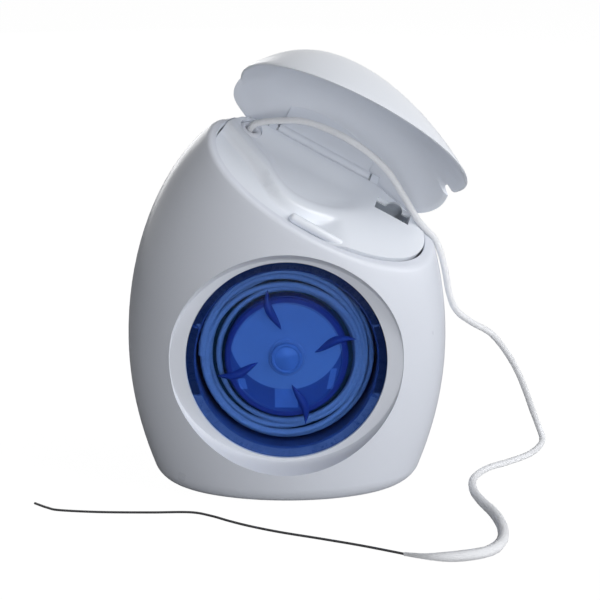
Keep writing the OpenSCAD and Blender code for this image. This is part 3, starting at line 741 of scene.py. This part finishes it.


# Painted light: the disc is a little darker towards the top.
painted_light_rise = upward.step(-9, 10)
disc_top = spool_blue.blend(painted_light_rise, (0.32, 0.43, 0.62), (0.29, 0.39, 0.60))
# Painted shade over the drum's lower part, outside a circle, with lighter slot shapes in it. The
# last step darkens a ring at the edge.
drum_shade_mask = disc_mask(across, upward - bright_z, bright_r, 0.12)
disc_with_shade = spool_blue.blend(drum_shade_mask, disc_top, (0.075, 0.13, 0.33))
all_slots = sum(slot_mask(*slot) for slot in drum_slots).at_most(1.0)
disc_slots = spool_blue.blend(all_slots, disc_with_shade, (0.21, 0.32, 0.58))
spool_blue.tone(disc_mask(across, upward, edge_r, 0.2), disc_slots, (0.05, 0.07, 0.26))
spool_blue.feed("Roughness", 0.2 + 0.1 * spool_blue.noise(900, 3))
spool_blue.bump(spool_blue.noise(160, 2), 0.00002)

# Fins, drum and flange share a dark blue that is painted shade.
shaded_blue = smooth_plastic("shaded_blue", (0.035, 0.06, 0.24), (0.06, 0.10, 0.34), 0.16, 0.1)
cap_blue = smooth_plastic("cap_blue", (0.20, 0.32, 0.56), (0.25, 0.38, 0.62), 0.12, 0.08)
# The clamp's dark blue is painted shade, for the shaded inside of the casing round the spool.
clamp_painted_shade = smooth_plastic(
    "clamp_painted_shade", (0.06, 0.10, 0.23), (0.08, 0.13, 0.28), 0.45, 0.15, patches=260, grain=1400)

# The core's dark blue-green is painted shade: white floss deep in the shade between the turns.
buried = Finish("core_floss_shade", Roughness=0.8)
pits = buried.noise(1500, 4)
buried.tone(pits, (0.02, 0.07, 0.07), (0.06, 0.14, 0.14))
buried.bump(pits, 0.0002)
print("spool finishes ready")

# %% [markdown]
# ## The casing shells
# The casing is two shells that meet at the sides, joined by pegs. Each is the egg with its hollow
# taken out. The last column on each side is drawn in by a tenth of a millimetre, which leaves the
# fine groove that always shows where two mouldings meet.

# %% Columns of the shells
shell_wall = 1.5
floor_t = 1.8
lip_r = 0.5
lip_back = ((-0.35, -0.05), (-0.12, -0.3), (1, -1.6))
column_end = 6
hollow_climb = 84
seam_depth = 0.12
seam_angle = 0.6
column_step = 2.5


def outer_column(angle, inset):
    """From the middle of the base up the outside to the rim and back to the middle line."""
    top = rim_climb(angle, inset, -lip_r)
    rises = [foot_r * (1 - math.sin(math.radians(t))) for t in range(90, 0, -9)]
    foot = [low_point(angle, z, inset) for z in rises]
    low = [low_point(angle, foot_r + (waist_z - foot_r) * k / 12, inset) for k in range(13)]
    high = [up_point(angle, top * k / 18, inset) for k in range(1, 19)]
    lip = [(1 - math.cos(math.radians(t)), math.sin(math.radians(t)) - 1) for t in (22, 45, 67, 90)]
    edge = [rim_point(angle, inset + lip_r * x, lip_r * z) for x, z in lip]
    inner = [rim_point(angle, shell_wall + x, z) for x, z in lip_back]
    ends = Vector((0, 0, 0)), Vector((0, 0, rim_middle.z - column_end))
    return [ends[0], *foot, *low, *high, *edge, *inner, ends[1]]


def hollow_column(angle, inset):
    """The inside of the egg, from its floor to the crown."""
    base = floor_t + 1
    low = [low_point(angle, base + (waist_z - base) * k / 10, inset) for k in range(11)]
    high = [up_point(angle, hollow_climb * k / 16, inset) for k in range(1, 17)]
    top = waist_z + (crown - inset) * math.sin(math.radians(hollow_climb))
    floor = [Vector((0, 0, floor_t)), low_point(angle, floor_t, inset + 1)]
    return [*floor, *low, *high, Vector((0, 0, top))]


def angles_between(start, end):
    count = round((end - start) / column_step)
    return [start + (end - start) * k / count for k in range(count + 1)]


def half_egg(name, start):
    """Half the egg, with a drawn-in column at each parting line."""
    ends = [outer_column(start + turn, seam_depth) for turn in (0, 180)]
    inner = angles_between(start + seam_angle, start + 180 - seam_angle)
    columns = [ends[0], *[outer_column(a, 0) for a in inner], ends[1]]
    return make_columns(name, columns, closed=False)


def hollow(start):
    """The room inside half the egg. It reaches a little past the parting lines."""
    angles = angles_between(start - 4, start + 184)
    return make_columns("hollow", [hollow_column(a, shell_wall) for a in angles], closed=False)


whole_turn = angles_between(0, 360 - column_step)


def inner_egg(inset):
    """The whole room inside the egg."""
    return make_columns("inner_egg", [hollow_column(a, inset) for a in whole_turn])


print("columns round the egg:", len(whole_turn))


# %% [markdown]
# The window sits in a collar behind the front wall. In front of it a wide bevelled seat opens
# through the wall. Its outline is wider than high, and it is a smooth funnel, so a loft of
# ellipses makes it: the ring nearest the window is round, and each ring further out is wider.

# %% The window seat
window_r = 16.6
window_front = 12.1
window_t = 1.2
collar_wall = 2.6
collar_back = 9.9
collar_reach = 19.9
seat_side = 2.9
seat_top = 1.9
seat_steps = 180
notch_from = from_rim((24.1, 0.83, 1.25))
notch_to = from_rim((29.5, -0.26, -0.46))
notch_play = 0.3
spool_matrix = in_millimetres(Matrix.Rotation(math.radians(90), 3, "X"), (0, 0, window_z))
seat_profile = [
    (window_front - 0.3, -0.05, -0.08), (window_front - 0.05, 0.0, 0.02),
    (window_front - 0.05, 0.5, 0.12), (window_front, 0.9, 0.23), (window_front + 0.3, 1.0, 0.36),
    (13.4, 1.08, 0.58), (14.8, 1.14, 0.84), (16, 1.18, 1.04), (17.5, 1.3, 1.3), (22, 1.9, 2.0),
]


def seat_ring(z, side_share, top_share):
    """An ellipse round the spool's axis, z millimetres to the front."""
    wide, tall = window_r + seat_side * side_share, window_r + seat_top * top_share
    turns = [2 * math.pi * k / seat_steps for k in range(seat_steps)]
    return [(wide * math.cos(a), tall * math.sin(a), z) for a in turns]


def make_seat():
    points = [p for row in seat_profile for p in seat_ring(*row)]
    seat = make_piece("seat", points, tube_faces(len(seat_profile), seat_steps))
    return move_mesh(seat, spool_matrix)


def spool_lathe(name, profile, steps=180, sharp=35):
    """A turned piece round the spool's axis."""
    return move_mesh(make_lathe(name, profile, steps, sharp), spool_matrix)


def spool_rod(name, radius, back, front):
    """A round bar along the spool's axis."""
    return spool_lathe(name, [(0, back), (radius, back), (radius, front), (0, front)])


def cut_notch(piece):
    """The notch that the strand runs out through, between the rim and the closed lid."""
    return cut(piece, rod("notch", notch_from, notch_to, strand_r + notch_play))


front = half_egg("front_casing", 180)
collar = spool_rod("collar", window_r + collar_wall, collar_back, collar_reach)
cut(front, cut(hollow(180), collar))
cut(front, make_seat())
cut(front, spool_rod("bore", window_r, collar_back - 1, window_front))
cut_notch(front)
finish_mesh(front, 38)
print("front casing", len(front.data.polygons), "faces")

# %% [markdown]
# ## The rear shell and the room for the lid's skirt
# When the lid opens, its skirt swings down behind the deck. The room that it sweeps is a turned
# body about the hinge axis, so the cut through the shell is made by a lathe whose profile is the
# skirt's own reach at each place along the hinge.

# %% The rear shell
hinge_back = 8.15
hinge_sink = 1.22
hinge_left = -4.9
hinge_len = 21.0
lid_gap = 0.3
swing_gap = 0.3
trough_wall = 1.1
skirt_angles = range(126, 28, -3)
hinge_matrix = rim_matrix @ Matrix.Translation(Vector((0, hinge_back, -hinge_sink)) * MM)
along_hinge = hinge_matrix @ Matrix.Rotation(math.radians(90), 4, "Y")


def swept_room(name, extra):
    """The room that the lid's skirt sweeps, with a margin."""
    reach = []
    for angle in skirt_angles:
        at = to_rim(rim_point(angle, 0, lid_gap))
        reach.append((math.hypot(at.y - hinge_back, at.z + hinge_sink) + extra, at.x))
    (first_r, left), (last_r, right) = reach[0], reach[-1]
    first = [(0, left - extra), (first_r, left - extra)]
    last = [(last_r, right + extra), (0, right + extra)]
    return move_mesh(make_lathe(name, first + reach + last, 120), along_hinge)


rear = half_egg("rear_casing", 0)
cut(rear, hollow(0))
cut(rear, swept_room("swing", swing_gap))
cut_notch(rear)
finish_mesh(rear, 38)
for piece, node in ((front, "front_shell"), (rear, "rear_shell")):
    hand_over(piece, "housing", casing, node)
print("rear casing", len(rear.data.polygons), "faces")

# %% [markdown]
# ## The deck
# The deck closes the cut. It is one moulded sheet that rises and falls: a shaded valley inside
# the left part of the rim, a rounded lip round a shallow dish, and a raised right part with the
# cutter. One height formula over the rim plane gives all of that, and a fan of rings from the
# middle to the edge carries it.

# %% The deck's height
valley_depth = 1.3
plateau_rise = 0.35
lip_rise = 0.25
dish_depth = 1.0
deck_t = 1.6
lip_front, lip_mid = -10.6, 4.5
right_bow, left_bow, left_bow_end, left_slope = 0.055, 0.1, 7, 0.75


def lip_line(x):
    """How far forward the lip of the dish runs at each x."""
    if x > lip_mid:
        return lip_front + right_bow * (x - lip_mid) ** 2
    d = lip_mid - x
    return lip_front + left_bow * min(d, left_bow_end) ** 2 + left_slope * max(0, d - left_bow_end)


def deck_height(x, y):
    """The deck's height over the rim plane. e is the distance behind the lip's line."""
    e = y - lip_line(x)
    rightward = ease(8, 15, x)
    outside = -valley_depth + (plateau_rise + valley_depth) * ease(8, 14, x + 0.35 * y + 4)
    crest = max(outside, lip_rise * (1 - rightward) + plateau_rise * rightward)
    if e > 0:
        dish = ease(0, 6, e) * (1 - ease(deck_back - 5, deck_back, y)) * (1 - ease(10, 17, x))
        return crest + (lip_rise - dish_depth * dish - crest) * ease(0, 3.5, e) - shoulder(x, y)
    return outside + (crest - outside) * ease(-1.8, 0, e) - shoulder(x, y)


print("in the valley the deck lies at", deck_height(-15, -8), "mm")


# %% The deck's sheet
deck_gap = 0.03
deck_rings = 34
deck_steps = 160
deck_middle = Vector((7, -4))


def deck_point(edge, share, drop):
    """A point of the sheet, from the middle to a point of its edge by a share."""
    x = deck_middle.x + share * (edge.x - deck_middle.x)
    y = deck_middle.y + share * (edge.y - deck_middle.y)
    return Vector((x, y, deck_height(x, y) - drop))


def deck_column(angle):
    """Out along the sheet's underside and back along its top."""
    edge = to_rim(rim_point(angle, shell_wall + deck_gap, -0.2)).xy
    shares = [k / deck_rings for k in range(deck_rings + 1)]
    under = [deck_point(edge, share, deck_t) for share in shares]
    return under + [deck_point(edge, share, 0) for share in reversed(shares)]


def behind(y, top):
    """A large block behind a line of the deck, up to a height."""
    return move_mesh(block("behind", (-20, y, -20), (40, 35, top)), rim_matrix)


sheet = make_columns("deck_moulding", [deck_column(360 * k / deck_steps) for k in range(deck_steps)])
deck = move_mesh(sheet, rim_matrix)
trough = swept_room("trough", swing_gap + trough_wall)
combine(trough, behind(deck_back - trough_wall, -deck_t / 2), "INTERSECT")
combine(trough, inner_egg(shell_wall + deck_gap), "INTERSECT")
join(deck, trough)
swing = swept_room("swing", swing_gap)
combine(swing, behind(deck_back, 20), "INTERSECT")
cut(deck, swing)
print("deck", len(deck.data.polygons), "faces")

# %% [markdown]
# Into the deck go the eyelet's stepped hole, the pocket for the cutter and the notch for the
# strand. A catch finger, a rounded rib that the lid clicks over, stands in the valley, and two
# lugs hold the hinge pin. The finger is a capsule: a tube that closes with half a ball at each end.

# %% The deck's details
guide_level = -0.9
guide_neck_r, guide_flange_r = 1.5, 2.0
pocket_x, pocket_y = 16.8, -0.9
pocket_w, pocket_l, pocket_depth = 6.4, 3.4, 2.2
pocket_wall, pocket_floor, pocket_top = 0.8, 0.7, -0.7
barrel_r = 1.1
lug_w = 1.4
pin_r = 0.5
finger_from = Vector((5, -13.2, -0.8))
finger_turn, finger_climb = math.radians(-5), 0.045
finger_r, finger_len = 0.8, 8.2


def half_round(radius, step):
    """The profile of a ball, from below to above."""
    arc = [math.radians(t) for t in range(-90, 91, step)]
    return [(max(radius * math.cos(t), 0), radius * math.sin(t)) for t in arc]


def make_capsule(name, start, end, radius, steps=32):
    """A rod with round ends."""
    way = Vector(end) - Vector(start)
    profile = [(r, z + (way.length if z > 0 else 0)) for r, z in half_round(radius, 10)]
    piece = make_lathe(name, [*profile, (0, way.length / 2)], steps)
    return move_mesh(piece, in_millimetres(way.to_track_quat("Z", "Y").to_matrix(), start))


def pocket_block(grow, low, high):
    """A block as large as the cutter's pocket, or larger by grow on each side."""
    near = (pocket_x - grow, pocket_y - grow, low)
    far = (pocket_x + pocket_w + grow, pocket_y + pocket_l + grow, high)
    return move_mesh(block("pocket", near, far), rim_matrix)


join(deck, pocket_block(pocket_wall, -pocket_depth - pocket_floor, pocket_top))
for radius, low, high in ((guide_neck_r, -6, 6), (guide_flange_r, guide_level, 8)):
    ends = [from_rim((guide_x, guide_y, z)) for z in (low, high)]
    cut(deck, rod("hole", *ends, radius))
cut(deck, pocket_block(0, -pocket_depth, 6))
cut_notch(deck)
cheek_y = deck_back - hinge_back - trough_wall
for x in (hinge_left, hinge_left + hinge_len - lug_w):
    lug = rod("lug", (0, 0, 0), (0, 0, lug_w), barrel_r)
    join(lug, block("cheek", (-barrel_r, cheek_y, 0), (barrel_r, 0, lug_w)))
    join(deck, move_mesh(lug, along_hinge @ Matrix.Translation((0, 0, x * MM))))
finish_mesh(deck, 40)

finger_way = Vector((math.cos(finger_turn), math.sin(finger_turn), finger_climb)) * finger_len
finger = make_capsule("catch_finger", finger_from, finger_from + finger_way, finger_r)
move_mesh(finger, rim_matrix)
hand_over(deck, "housing", tray, "deck")
hand_over(finger, "housing", tray)
print("deck with details", len(deck.data.polygons), "faces")

# %% [markdown]
# ## The lid
# The lid is the top of the egg, hollow, with a rounded rim and a shallow scoop for the thumb. It
# is modelled closed, where it continues the casing, and then turned open about the hinge. A wall
# at its rear carries the barrel that the pin runs through.

# %% The lid
lid_wall = 1.2
lid_edge = 0.5
lid_open = 55.8
lid_rim = ((0.42, 0.02), (0.25, 0), (0.07, 0.08))
pin_play = 0.05
web_t, web_margin, web_angle = 1.0, 0.4, 80
overlap = 0.05
scoop_r, scoop_depth = 16.0, 0.7
scoop_at, scoop_way = Vector((6, -17.2, 1.6)), Vector((0, -0.93, 0.37))


def lid_inset(share):
    """The lid's wall thins towards its edge."""
    return lid_wall - (lid_wall - lid_edge) * ease(0.45, 1, share)


def lid_column(angle):
    """Down the lid's hollow side, round its edge and up its outside."""
    low = rim_climb(angle, lid_edge, lid_gap + 0.1)
    inside = [up_point(angle, 90 + (low - 90) * k / 24, lid_inset(k / 24)) for k in range(1, 25)]
    rim = [rim_point(angle, inset, lid_gap + rise) for inset, rise in lid_rim]
    low = rim_climb(angle, 0, lid_gap + 0.25)
    outside = [up_point(angle, low + (90 - low) * k / 20, 0) for k in range(20)]
    ends = [Vector((0, 0, waist_z + crown - wall)) for wall in (lid_wall, 0)]
    return [ends[0], *inside, *rim, *outside, ends[1]]


def hinge_rod(start, end, radius):
    """A round bar along the hinge."""
    return move_mesh(rod("hinge_rod", (0, 0, start), (0, 0, end), radius), along_hinge)


lid = make_columns("lid_moulding", [lid_column(a) for a in whole_turn])
barrel_from = hinge_left + lug_w + lid_gap
barrel_to = barrel_from + hinge_len - 2 * (lug_w + lid_gap)
web_ends = barrel_from + web_margin, barrel_to - web_margin
web = block("web", (web_ends[0], 0, -web_t / 2), (web_ends[1], 20, web_t / 2))
move_mesh(web, hinge_matrix @ Matrix.Rotation(math.radians(web_angle), 4, "X"))
combine(web, inner_egg(lid_edge / 2), "INTERSECT")
join(lid, web)
join(lid, hinge_rod(barrel_from, barrel_to, barrel_r))
cut(lid, hinge_rod(hinge_left, hinge_left + hinge_len, pin_r + pin_play))
lug_room = lug_w + 2 * lid_gap + overlap
for x in (hinge_left - lid_gap, barrel_to - overlap):
    cut(lid, hinge_rod(x, x + lug_room, barrel_r + swing_gap))
scoop = make_lathe("scoop", half_round(scoop_r, 3), 120)
scoop_middle = from_rim(scoop_at + (scoop_r - scoop_depth) * scoop_way)
cut(lid, move_mesh(scoop, in_millimetres(Matrix.Identity(3), scoop_middle)))
cut_notch(lid)
swing_open = Matrix.Rotation(math.radians(-lid_open), 4, "X")
move_mesh(lid, hinge_matrix @ swing_open @ hinge_matrix.inverted())
finish_mesh(lid, 38)
hand_over(lid, "lid", cover, "lid")
print("lid", len(lid.data.polygons), "faces")

# %% [markdown]
# ## Cutter, eyelet and pin
# The cutter is a stamped steel strip with a round lobe at the back and a bent-up tooth in front
# of it. The eyelet is a small flanged tube. Both have soft edges that catch a thin line of light,
# so they are modelled again with a bevel, while the straight pin keeps its solid.


# %% Bevelled edges
def soften(piece, width, steps=3, fold=40):
    """Rounds corners that fold by more than an angle, with a modifier that is applied at once."""
    change = piece.modifiers.new("bevel", "BEVEL")
    change.width = width * MM
    change.segments = steps
    change.limit_method = "ANGLE"
    change.angle_limit = math.radians(fold)
    apply_change(piece)
    return finish_mesh(piece, 50)


def plate(name, outline, thickness):
    """A flat plate from an outline in x and z, that stands with its back at y 0."""
    n = len(outline)
    points = [(x, 0, z) for x, z in outline] + [(x, -thickness, z) for x, z in outline]
    faces = [tuple(range(n)), tuple(reversed(range(n, 2 * n)))]
    faces += [(i, n + i, n + (i + 1) % n, (i + 1) % n) for i in range(n)]
    return make_piece(name, points, faces)


print("bevel and plate ready")

# %% The cutter
blade_t, blade_h, blade_gap, blade_bevel = 0.4, 2.3, 0.05, 0.07
lobe_x, lobe_r, lobe_drop = 3.4, 1.5, 0.6
tooth_x, tooth_y, tooth_w, tip_w, tooth_bevel = 5.4, 0.9, 1.0, 0.24, 0.05
strip_w = pocket_w - 2 * blade_gap
strip_l = pocket_l - 2 * blade_gap
lobe_z = blade_h - lobe_drop
arc = [math.radians(t) for t in range(0, 181, 10)]
lobe_arc = [(lobe_x + lobe_r * math.cos(t), lobe_z + lobe_r * math.sin(t)) for t in arc]
back_outline = [(0, 0), (strip_w, 0), (strip_w, lobe_z), *lobe_arc, (0, lobe_z)]
pocket_corner = Vector((pocket_x + blade_gap, pocket_y + blade_gap, -pocket_depth))
blade_place = rim_matrix @ Matrix.Translation(pocket_corner * MM)

blade = plate("cutter_back", back_outline, blade_t)
move_mesh(blade, Matrix.Translation((0, strip_l * MM, 0)))
join(blade, block("cutter_base", (0, 0, 0), (strip_w, strip_l, blade_t)))
soften(move_mesh(blade, blade_place), blade_bevel)
sides = ((-tooth_w / 2, 0), (tooth_w / 2, 0), (tip_w / 2, blade_h), (-tip_w / 2, blade_h))
tooth = plate("cutter_tooth", [(tooth_x + x, z) for x, z in sides], blade_t)
move_mesh(tooth, blade_place @ Matrix.Translation((0, tooth_y * MM, 0)))
soften(tooth, tooth_bevel)
hand_over(blade, "housing", steel, "cutter_blade")
hand_over(tooth, "housing", dark_steel)
print("cutter", len(blade.data.polygons) + len(tooth.data.polygons), "faces")

# %% The eyelet
guide_profile = [
    (0.95, -1.3), (0.95, 0.45), (1.0, 0.62), (1.15, 0.74), (1.4, 0.8), (1.7, 0.72), (1.92, 0.5),
    (guide_flange_r, 0.25), (guide_flange_r, 0), (guide_neck_r, 0), (guide_neck_r, -1.4),
    (1.1, -1.4),
]
guide = make_lathe("floss_eyelet", guide_profile, 72)
guide_place = Vector((guide_x, guide_y, guide_level)) * MM
move_mesh(guide, rim_matrix @ Matrix.Translation(guide_place))
hand_over(guide, "housing", eyelet, "floss_guide")
steel.dress(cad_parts["hinge_pin"])
print("eyelet", len(guide.data.polygons), "faces")

# %% [markdown]
# ## The window
# The window is a disc with a fine bevel at its edge. A clamp ring holds it from behind, with a
# skirt round the spool that keeps the white casing from showing through. Ring and skirt are a
# dark blue that is painted shade, for the casing's shaded inside. The disc is turned on a lathe
# with many steps, so that its outline stays round when seen close.

# %% The window and its clamp
lens_r = window_r - 0.08
lens_back = window_front - window_t
skirt_in, skirt_out, skirt_back = 14.95, 15.3, -4.0
ring_top = collar_back + 1
window = spool_lathe("window", [
    (0, lens_back), (lens_r, lens_back), (lens_r, window_front - 0.3),
    (lens_r - 0.12, window_front - 0.12), (lens_r - 0.4, window_front), (0, window_front),
], 240, 30)
clamp = spool_lathe("window_ring", [
    (skirt_in, skirt_back), (skirt_out, skirt_back), (skirt_out, collar_back - 0.1),
    (lens_r, collar_back), (lens_r, ring_top), (15.25, ring_top), (skirt_in, ring_top - 0.3),
])
hand_over(window, "housing", lens, "window_lens")
hand_over(clamp, "housing", clamp_painted_shade, "window_clamp")
print("window", round(2 * lens_r, 1), "mm wide")

# %% [markdown]
# ## The spool
# The spool is a slotted drum with a face disc. Four thin fins, each bowed like a sickle, stand on
# the disc and reach out over the floss to hold it back. A fin is an outline that swells in the
# middle and ends in a point, raised with a rounded ridge, and its dark blue is painted shade. A
# button on the end of the fixed spindle sits in the middle. The drum behind the disc, the spindle
# and the drag washer hardly show, so they keep their solids and only get a finish; the drum and
# its flange take the fins' dark blue with its painted shade.

# %% The spool's face
drum_r, drum_front = 10.2, 8.6
spindle_r, spindle_play = 1.5, 0.06
face_r = drum_r - 0.15
face_top = drum_front + 0.8
hole_r = spindle_r + spindle_play
face = spool_lathe("spool_disc", [
    (hole_r, drum_front), (face_r, drum_front), (face_r, face_top - 0.15),
    (face_r - 0.15, face_top), (face_r - 0.9, face_top), (face_r - 1.1, face_top - 0.2),
    (3.1, face_top - 0.2), (2.9, face_top), (hole_r, face_top),
])

fin_count = 4
fin_from, fin_tip, fin_bow, fin_lean, fin_turn = 4.8, 11.8, 6.5, -4.5, 15.2
fin_half_w, fin_foot, fin_rise, fin_sink = 0.713, 0.25, 0.756, 0.22
fin_ridge = ((-1, 0), (-0.9, 0.5), (-0.4, 0.93), (0, 1), (0.4, 0.93), (0.9, 0.5), (1, 0))


def make_fin(name, turn, steps=28):
    """A bowed fin with a rounded ridge, tapering to a point at both ends."""
    points = []
    for k in range(steps + 1):
        u = k / steps
        bow = math.sin(math.pi * u)
        full = max(bow, 0.02) ** 0.8
        a = math.radians(turn + fin_lean * (1 - u) + fin_bow * bow)
        at = (fin_from + (fin_tip - fin_from) * u) * Vector((math.cos(a), math.sin(a), 0))
        side = Vector((-math.sin(a), math.cos(a), 0))
        for aside, up in fin_ridge:
            height = face_top - fin_sink + up * (fin_foot + fin_rise * full)
            points.append(at + aside * fin_half_w * full * side + Vector((0, 0, height)))
    faces = tube_faces(steps + 1, len(fin_ridge))
    return move_mesh(make_piece(name, points, faces, 50), spool_matrix)


hand_over(face, "spool", spool_blue, "spool_face")
for k in range(fin_count):
    fin = make_fin(f"spool_fin_{k + 1}", fin_turn + 360 / fin_count * k)
    hand_over(fin, "spool", shaded_blue)
print("spool's face", len(face.data.polygons), "faces")

# %% The spindle's button and the plain solids
cap_base = face_top + 0.3
cap_profile = [
    (0, 0.45), (1.6, 0.45), (1.6, 0), (2.5, 0), (2.6, 0.1), (2.6, 0.45), (2.45, 0.65),
    (2.2, 0.68), (2.02, 0.5), (1.6, 0.62), (1.1, 0.75), (0.5, 0.83), (0, 0.85),
]
cap = spool_lathe("spindle_button", [(r, cap_base + z) for r, z in cap_profile], 96, 45)
hand_over(cap, "housing", cap_blue, "spindle_cap")
# The drum and its flange take the fins' dark blue, which is painted shade.
shaded_blue.dress(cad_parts["spool_drum"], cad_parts["spool_flange"])
cap_blue.dress(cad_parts["spindle"])
rubber.dress(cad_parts["drag_washer"])
print("button at", round(cap_base, 1), "mm to the front")

# %% [markdown]
# ## The wound floss
# On the spool the floss lies in loose, uneven turns that cross each other at low angles, with
# deep gaps between. It is one unbroken strand. Its line is a formula: up the outside of the drum,
# in over the face, and out again on top, where it gathers in an inner and an outer bundle. Its
# distance from the axis and its height wander by a sum of slow waves. A core of buried turns
# fills the space beneath, coloured a dark blue-green that is painted shade in the gaps.

# %% The wound strand
wound_r = 0.47
turn_steps = 60
winding_back = 3.4
drum_turns, face_in, face_out = 7, 1.2, 4.3
side_r, side_in, side_low, side_rise = 13.95, 2.85, -2.6, 9.2
over_r, over_step, over_z, over_rise = 11.0, 0.4, 6.6, 0.8
outer_from, outer_to, outer_shift, outer_rise = 1.9, 2.4, 1.1, 0.3
bundle_lean, bundle_sway = math.radians(-30), 0.34
side_wander, lift_wander = 0.3, 0.22
side_waves = ((0.5, 1.31), (0.3, 2.17), (0.2, 0.53))
lift_waves = ((0.6, 0.77), (0.4, 1.7))
width_waves = ((0.16, 0.83), (0.1, 2.9))
wander = random.Random(21)
phases = [wander.uniform(0, 2 * math.pi) for _ in side_waves + lift_waves + width_waves]


def slow_waves(a, waves, first):
    """A sum of sine waves, each with a size, a pace and a phase of its own."""
    own = phases[first:]
    return sum(size * math.sin(pace * a + phase) for (size, pace), phase in zip(waves, own))


def wound_point(t):
    """The strand's place after t turns: up the drum, in over the face, and out again on top."""
    a = 2 * math.pi * t
    front = t - drum_turns
    if front < face_in:
        r = side_r - side_in * max(0, front) / face_in
        z = side_low + side_rise * min(t / drum_turns, 1)
    else:
        over = front - face_in
        settled = ease(0, 0.7, over)
        outer = ease(outer_from, outer_to, over)
        sway = bundle_sway * math.cos(a - bundle_lean) * (1 - 2 * outer) * settled
        r = over_r + over_step * over + outer_shift * outer + sway
        z = over_z + over_rise * settled + outer_rise * outer
    out = ease(-0.5, 0.5, front)
    r += side_wander * slow_waves(a, side_waves, 0) * out
    z += lift_wander * slow_waves(a, lift_waves, 3) * out
    return Vector((r * math.cos(a), r * math.sin(a), z))


def wound_width(k):
    """Spongy floss swells and thins as it lies."""
    return wound_r * (1 + slow_waves(2 * math.pi * k / turn_steps, width_waves, 5))


wound_steps = round((drum_turns + face_in + face_out) * turn_steps)
wound_line = [wound_point(k / turn_steps) for k in range(wound_steps + 1)]
winding = make_tube("wound_floss", wound_line, wound_width, 10, (0, 0, 1))
move_mesh(winding, spool_matrix)
core_hole = drum_r + 0.02
core = spool_lathe("wound_core", [
    (core_hole, -winding_back), (13.3, -winding_back), (13.3, 5.2), (13.0, 5.6), (11.0, 5.9),
    (core_hole, 5.9),
], 144)
hand_over(winding, "spool", coil_floss, "floss_winding")
# The core's dark colour is painted shade.
hand_over(core, "spool", buried, "floss_core")
print("wound floss", round(line_length(wound_line) / 1000, 2), "m")

# %% [markdown]
# The stretch between the spool and the eyelet is hidden inside, but it is there: a straight, taut
# piece of the same floss.

# %% The taut stretch
feed_low = Vector((-14.84, 2.2, 27.8))
feed_line = [feed_low.lerp(guide_foot, k / 24) for k in range(25)]
feed = make_tube("taut_floss", feed_line, lambda k: strand_r, strand_sides, (1, 0, 0), fibre_ridges)
hand_over(feed, "housing", floss, "feed_strand")
floss.dress(strand)
bristle.dress(threader)
print("taut stretch", round(line_length(feed_line), 1), "mm")

# %% [markdown]
# ## Floor, light and backdrop
# The picture is a plain product shot: white all round, soft light from the front and the right,
# and little on the left, which turns the left side of the egg grey. Six soft lamps give that. The
# front one is hidden from mirrors, or the window would show it as a bright bar, and a weak one
# behind lifts the back. A big floor looks nearly white to the camera and keeps a faint shadow. For
# the camera, and for what metal and glass mirror, the world is plain white; for the light on the
# object it is much weaker.

# %% The floor
floor_size, floor_z = 6000, -0.05
glow_strength, glow_share = 1.16, 0.85
corners = [(x * floor_size, y * floor_size, floor_z)
    for x, y in ((-1, -1), (1, -1), (1, 1), (-1, 1))]
floor = make_piece("floor", corners, [(0, 1, 2, 3)])
ground = Finish(
    "studio_floor", Base_Color=(0.45, 0.45, 0.45), Roughness=0.9, Specular_IOR_Level=0.0)
seen = ground.node("ShaderNodeLightPath", out="Is Camera Ray")
glow = ground.node("ShaderNodeEmission", None, {"Color": (1, 1, 1), "Strength": glow_strength})
ground.mix(seen * glow_share, glow)
ground.dress(floor)
print("floor", 2 * floor_size * MM, "m wide")

# %% The lights
lamp_aim = Vector((0, 0, 0.035))


def soft_light(name, place, size, power):
    """A flat lamp that faces the object. Its place and size are in metres, its power in watts."""
    lamp = bpy.data.lights.new(name, "AREA")
    lamp.shape = "RECTANGLE"
    lamp.size, lamp.size_y = size
    lamp.energy = power
    made = bpy.data.objects.new(name, lamp)
    made.location = place
    made.rotation_euler = (lamp_aim - Vector(place)).to_track_quat("-Z", "Y").to_euler()
    scene.collection.objects.link(made)
    return made


front_lamp = soft_light("front_light", (0.1, -0.85, 0.12), (0.6, 0.22), 2.5)
front_lamp.visible_glossy = False
soft_light("side_light", (0.8, -0.05, 0.25), (0.5, 0.4), 1.3)
soft_light("low_light", (0.65, -0.55, 0.14), (0.5, 0.26), 0.8)
soft_light("key_light", (0.6, -0.3, 0.5), (0.5, 0.5), 2.4)
soft_light("top_light", (0.45, -0.1, 0.75), (0.5, 0.5), 1.0)
soft_light("back_light", (-0.35, 0.85, 0.3), (0.5, 0.5), 1.8)
print("lamps:", len(bpy.data.lights))

# %% The backdrop
dim_light = 0.05
world = bpy.data.worlds.new("backdrop")
world.use_nodes = True
scene.world = world
backdrop = Nodes(world.node_tree)
background = world.node_tree.nodes["Background"].inputs
rays = backdrop.node("ShaderNodeLightPath")
mirrored = rays.other("Is Glossy Ray").at_least(rays.other("Is Transmission Ray"))
bright = rays.other("Is Camera Ray").at_least(mirrored)
values = {"Value": bright, "To Min": dim_light, "To Max": 1.0}
backdrop.put(background["Color"], (1, 1, 1))
backdrop.put(background["Strength"], backdrop.node("ShaderNodeMapRange", None, values))
scene.view_settings.view_transform = "Standard"
print("light from the backdrop:", dim_light)
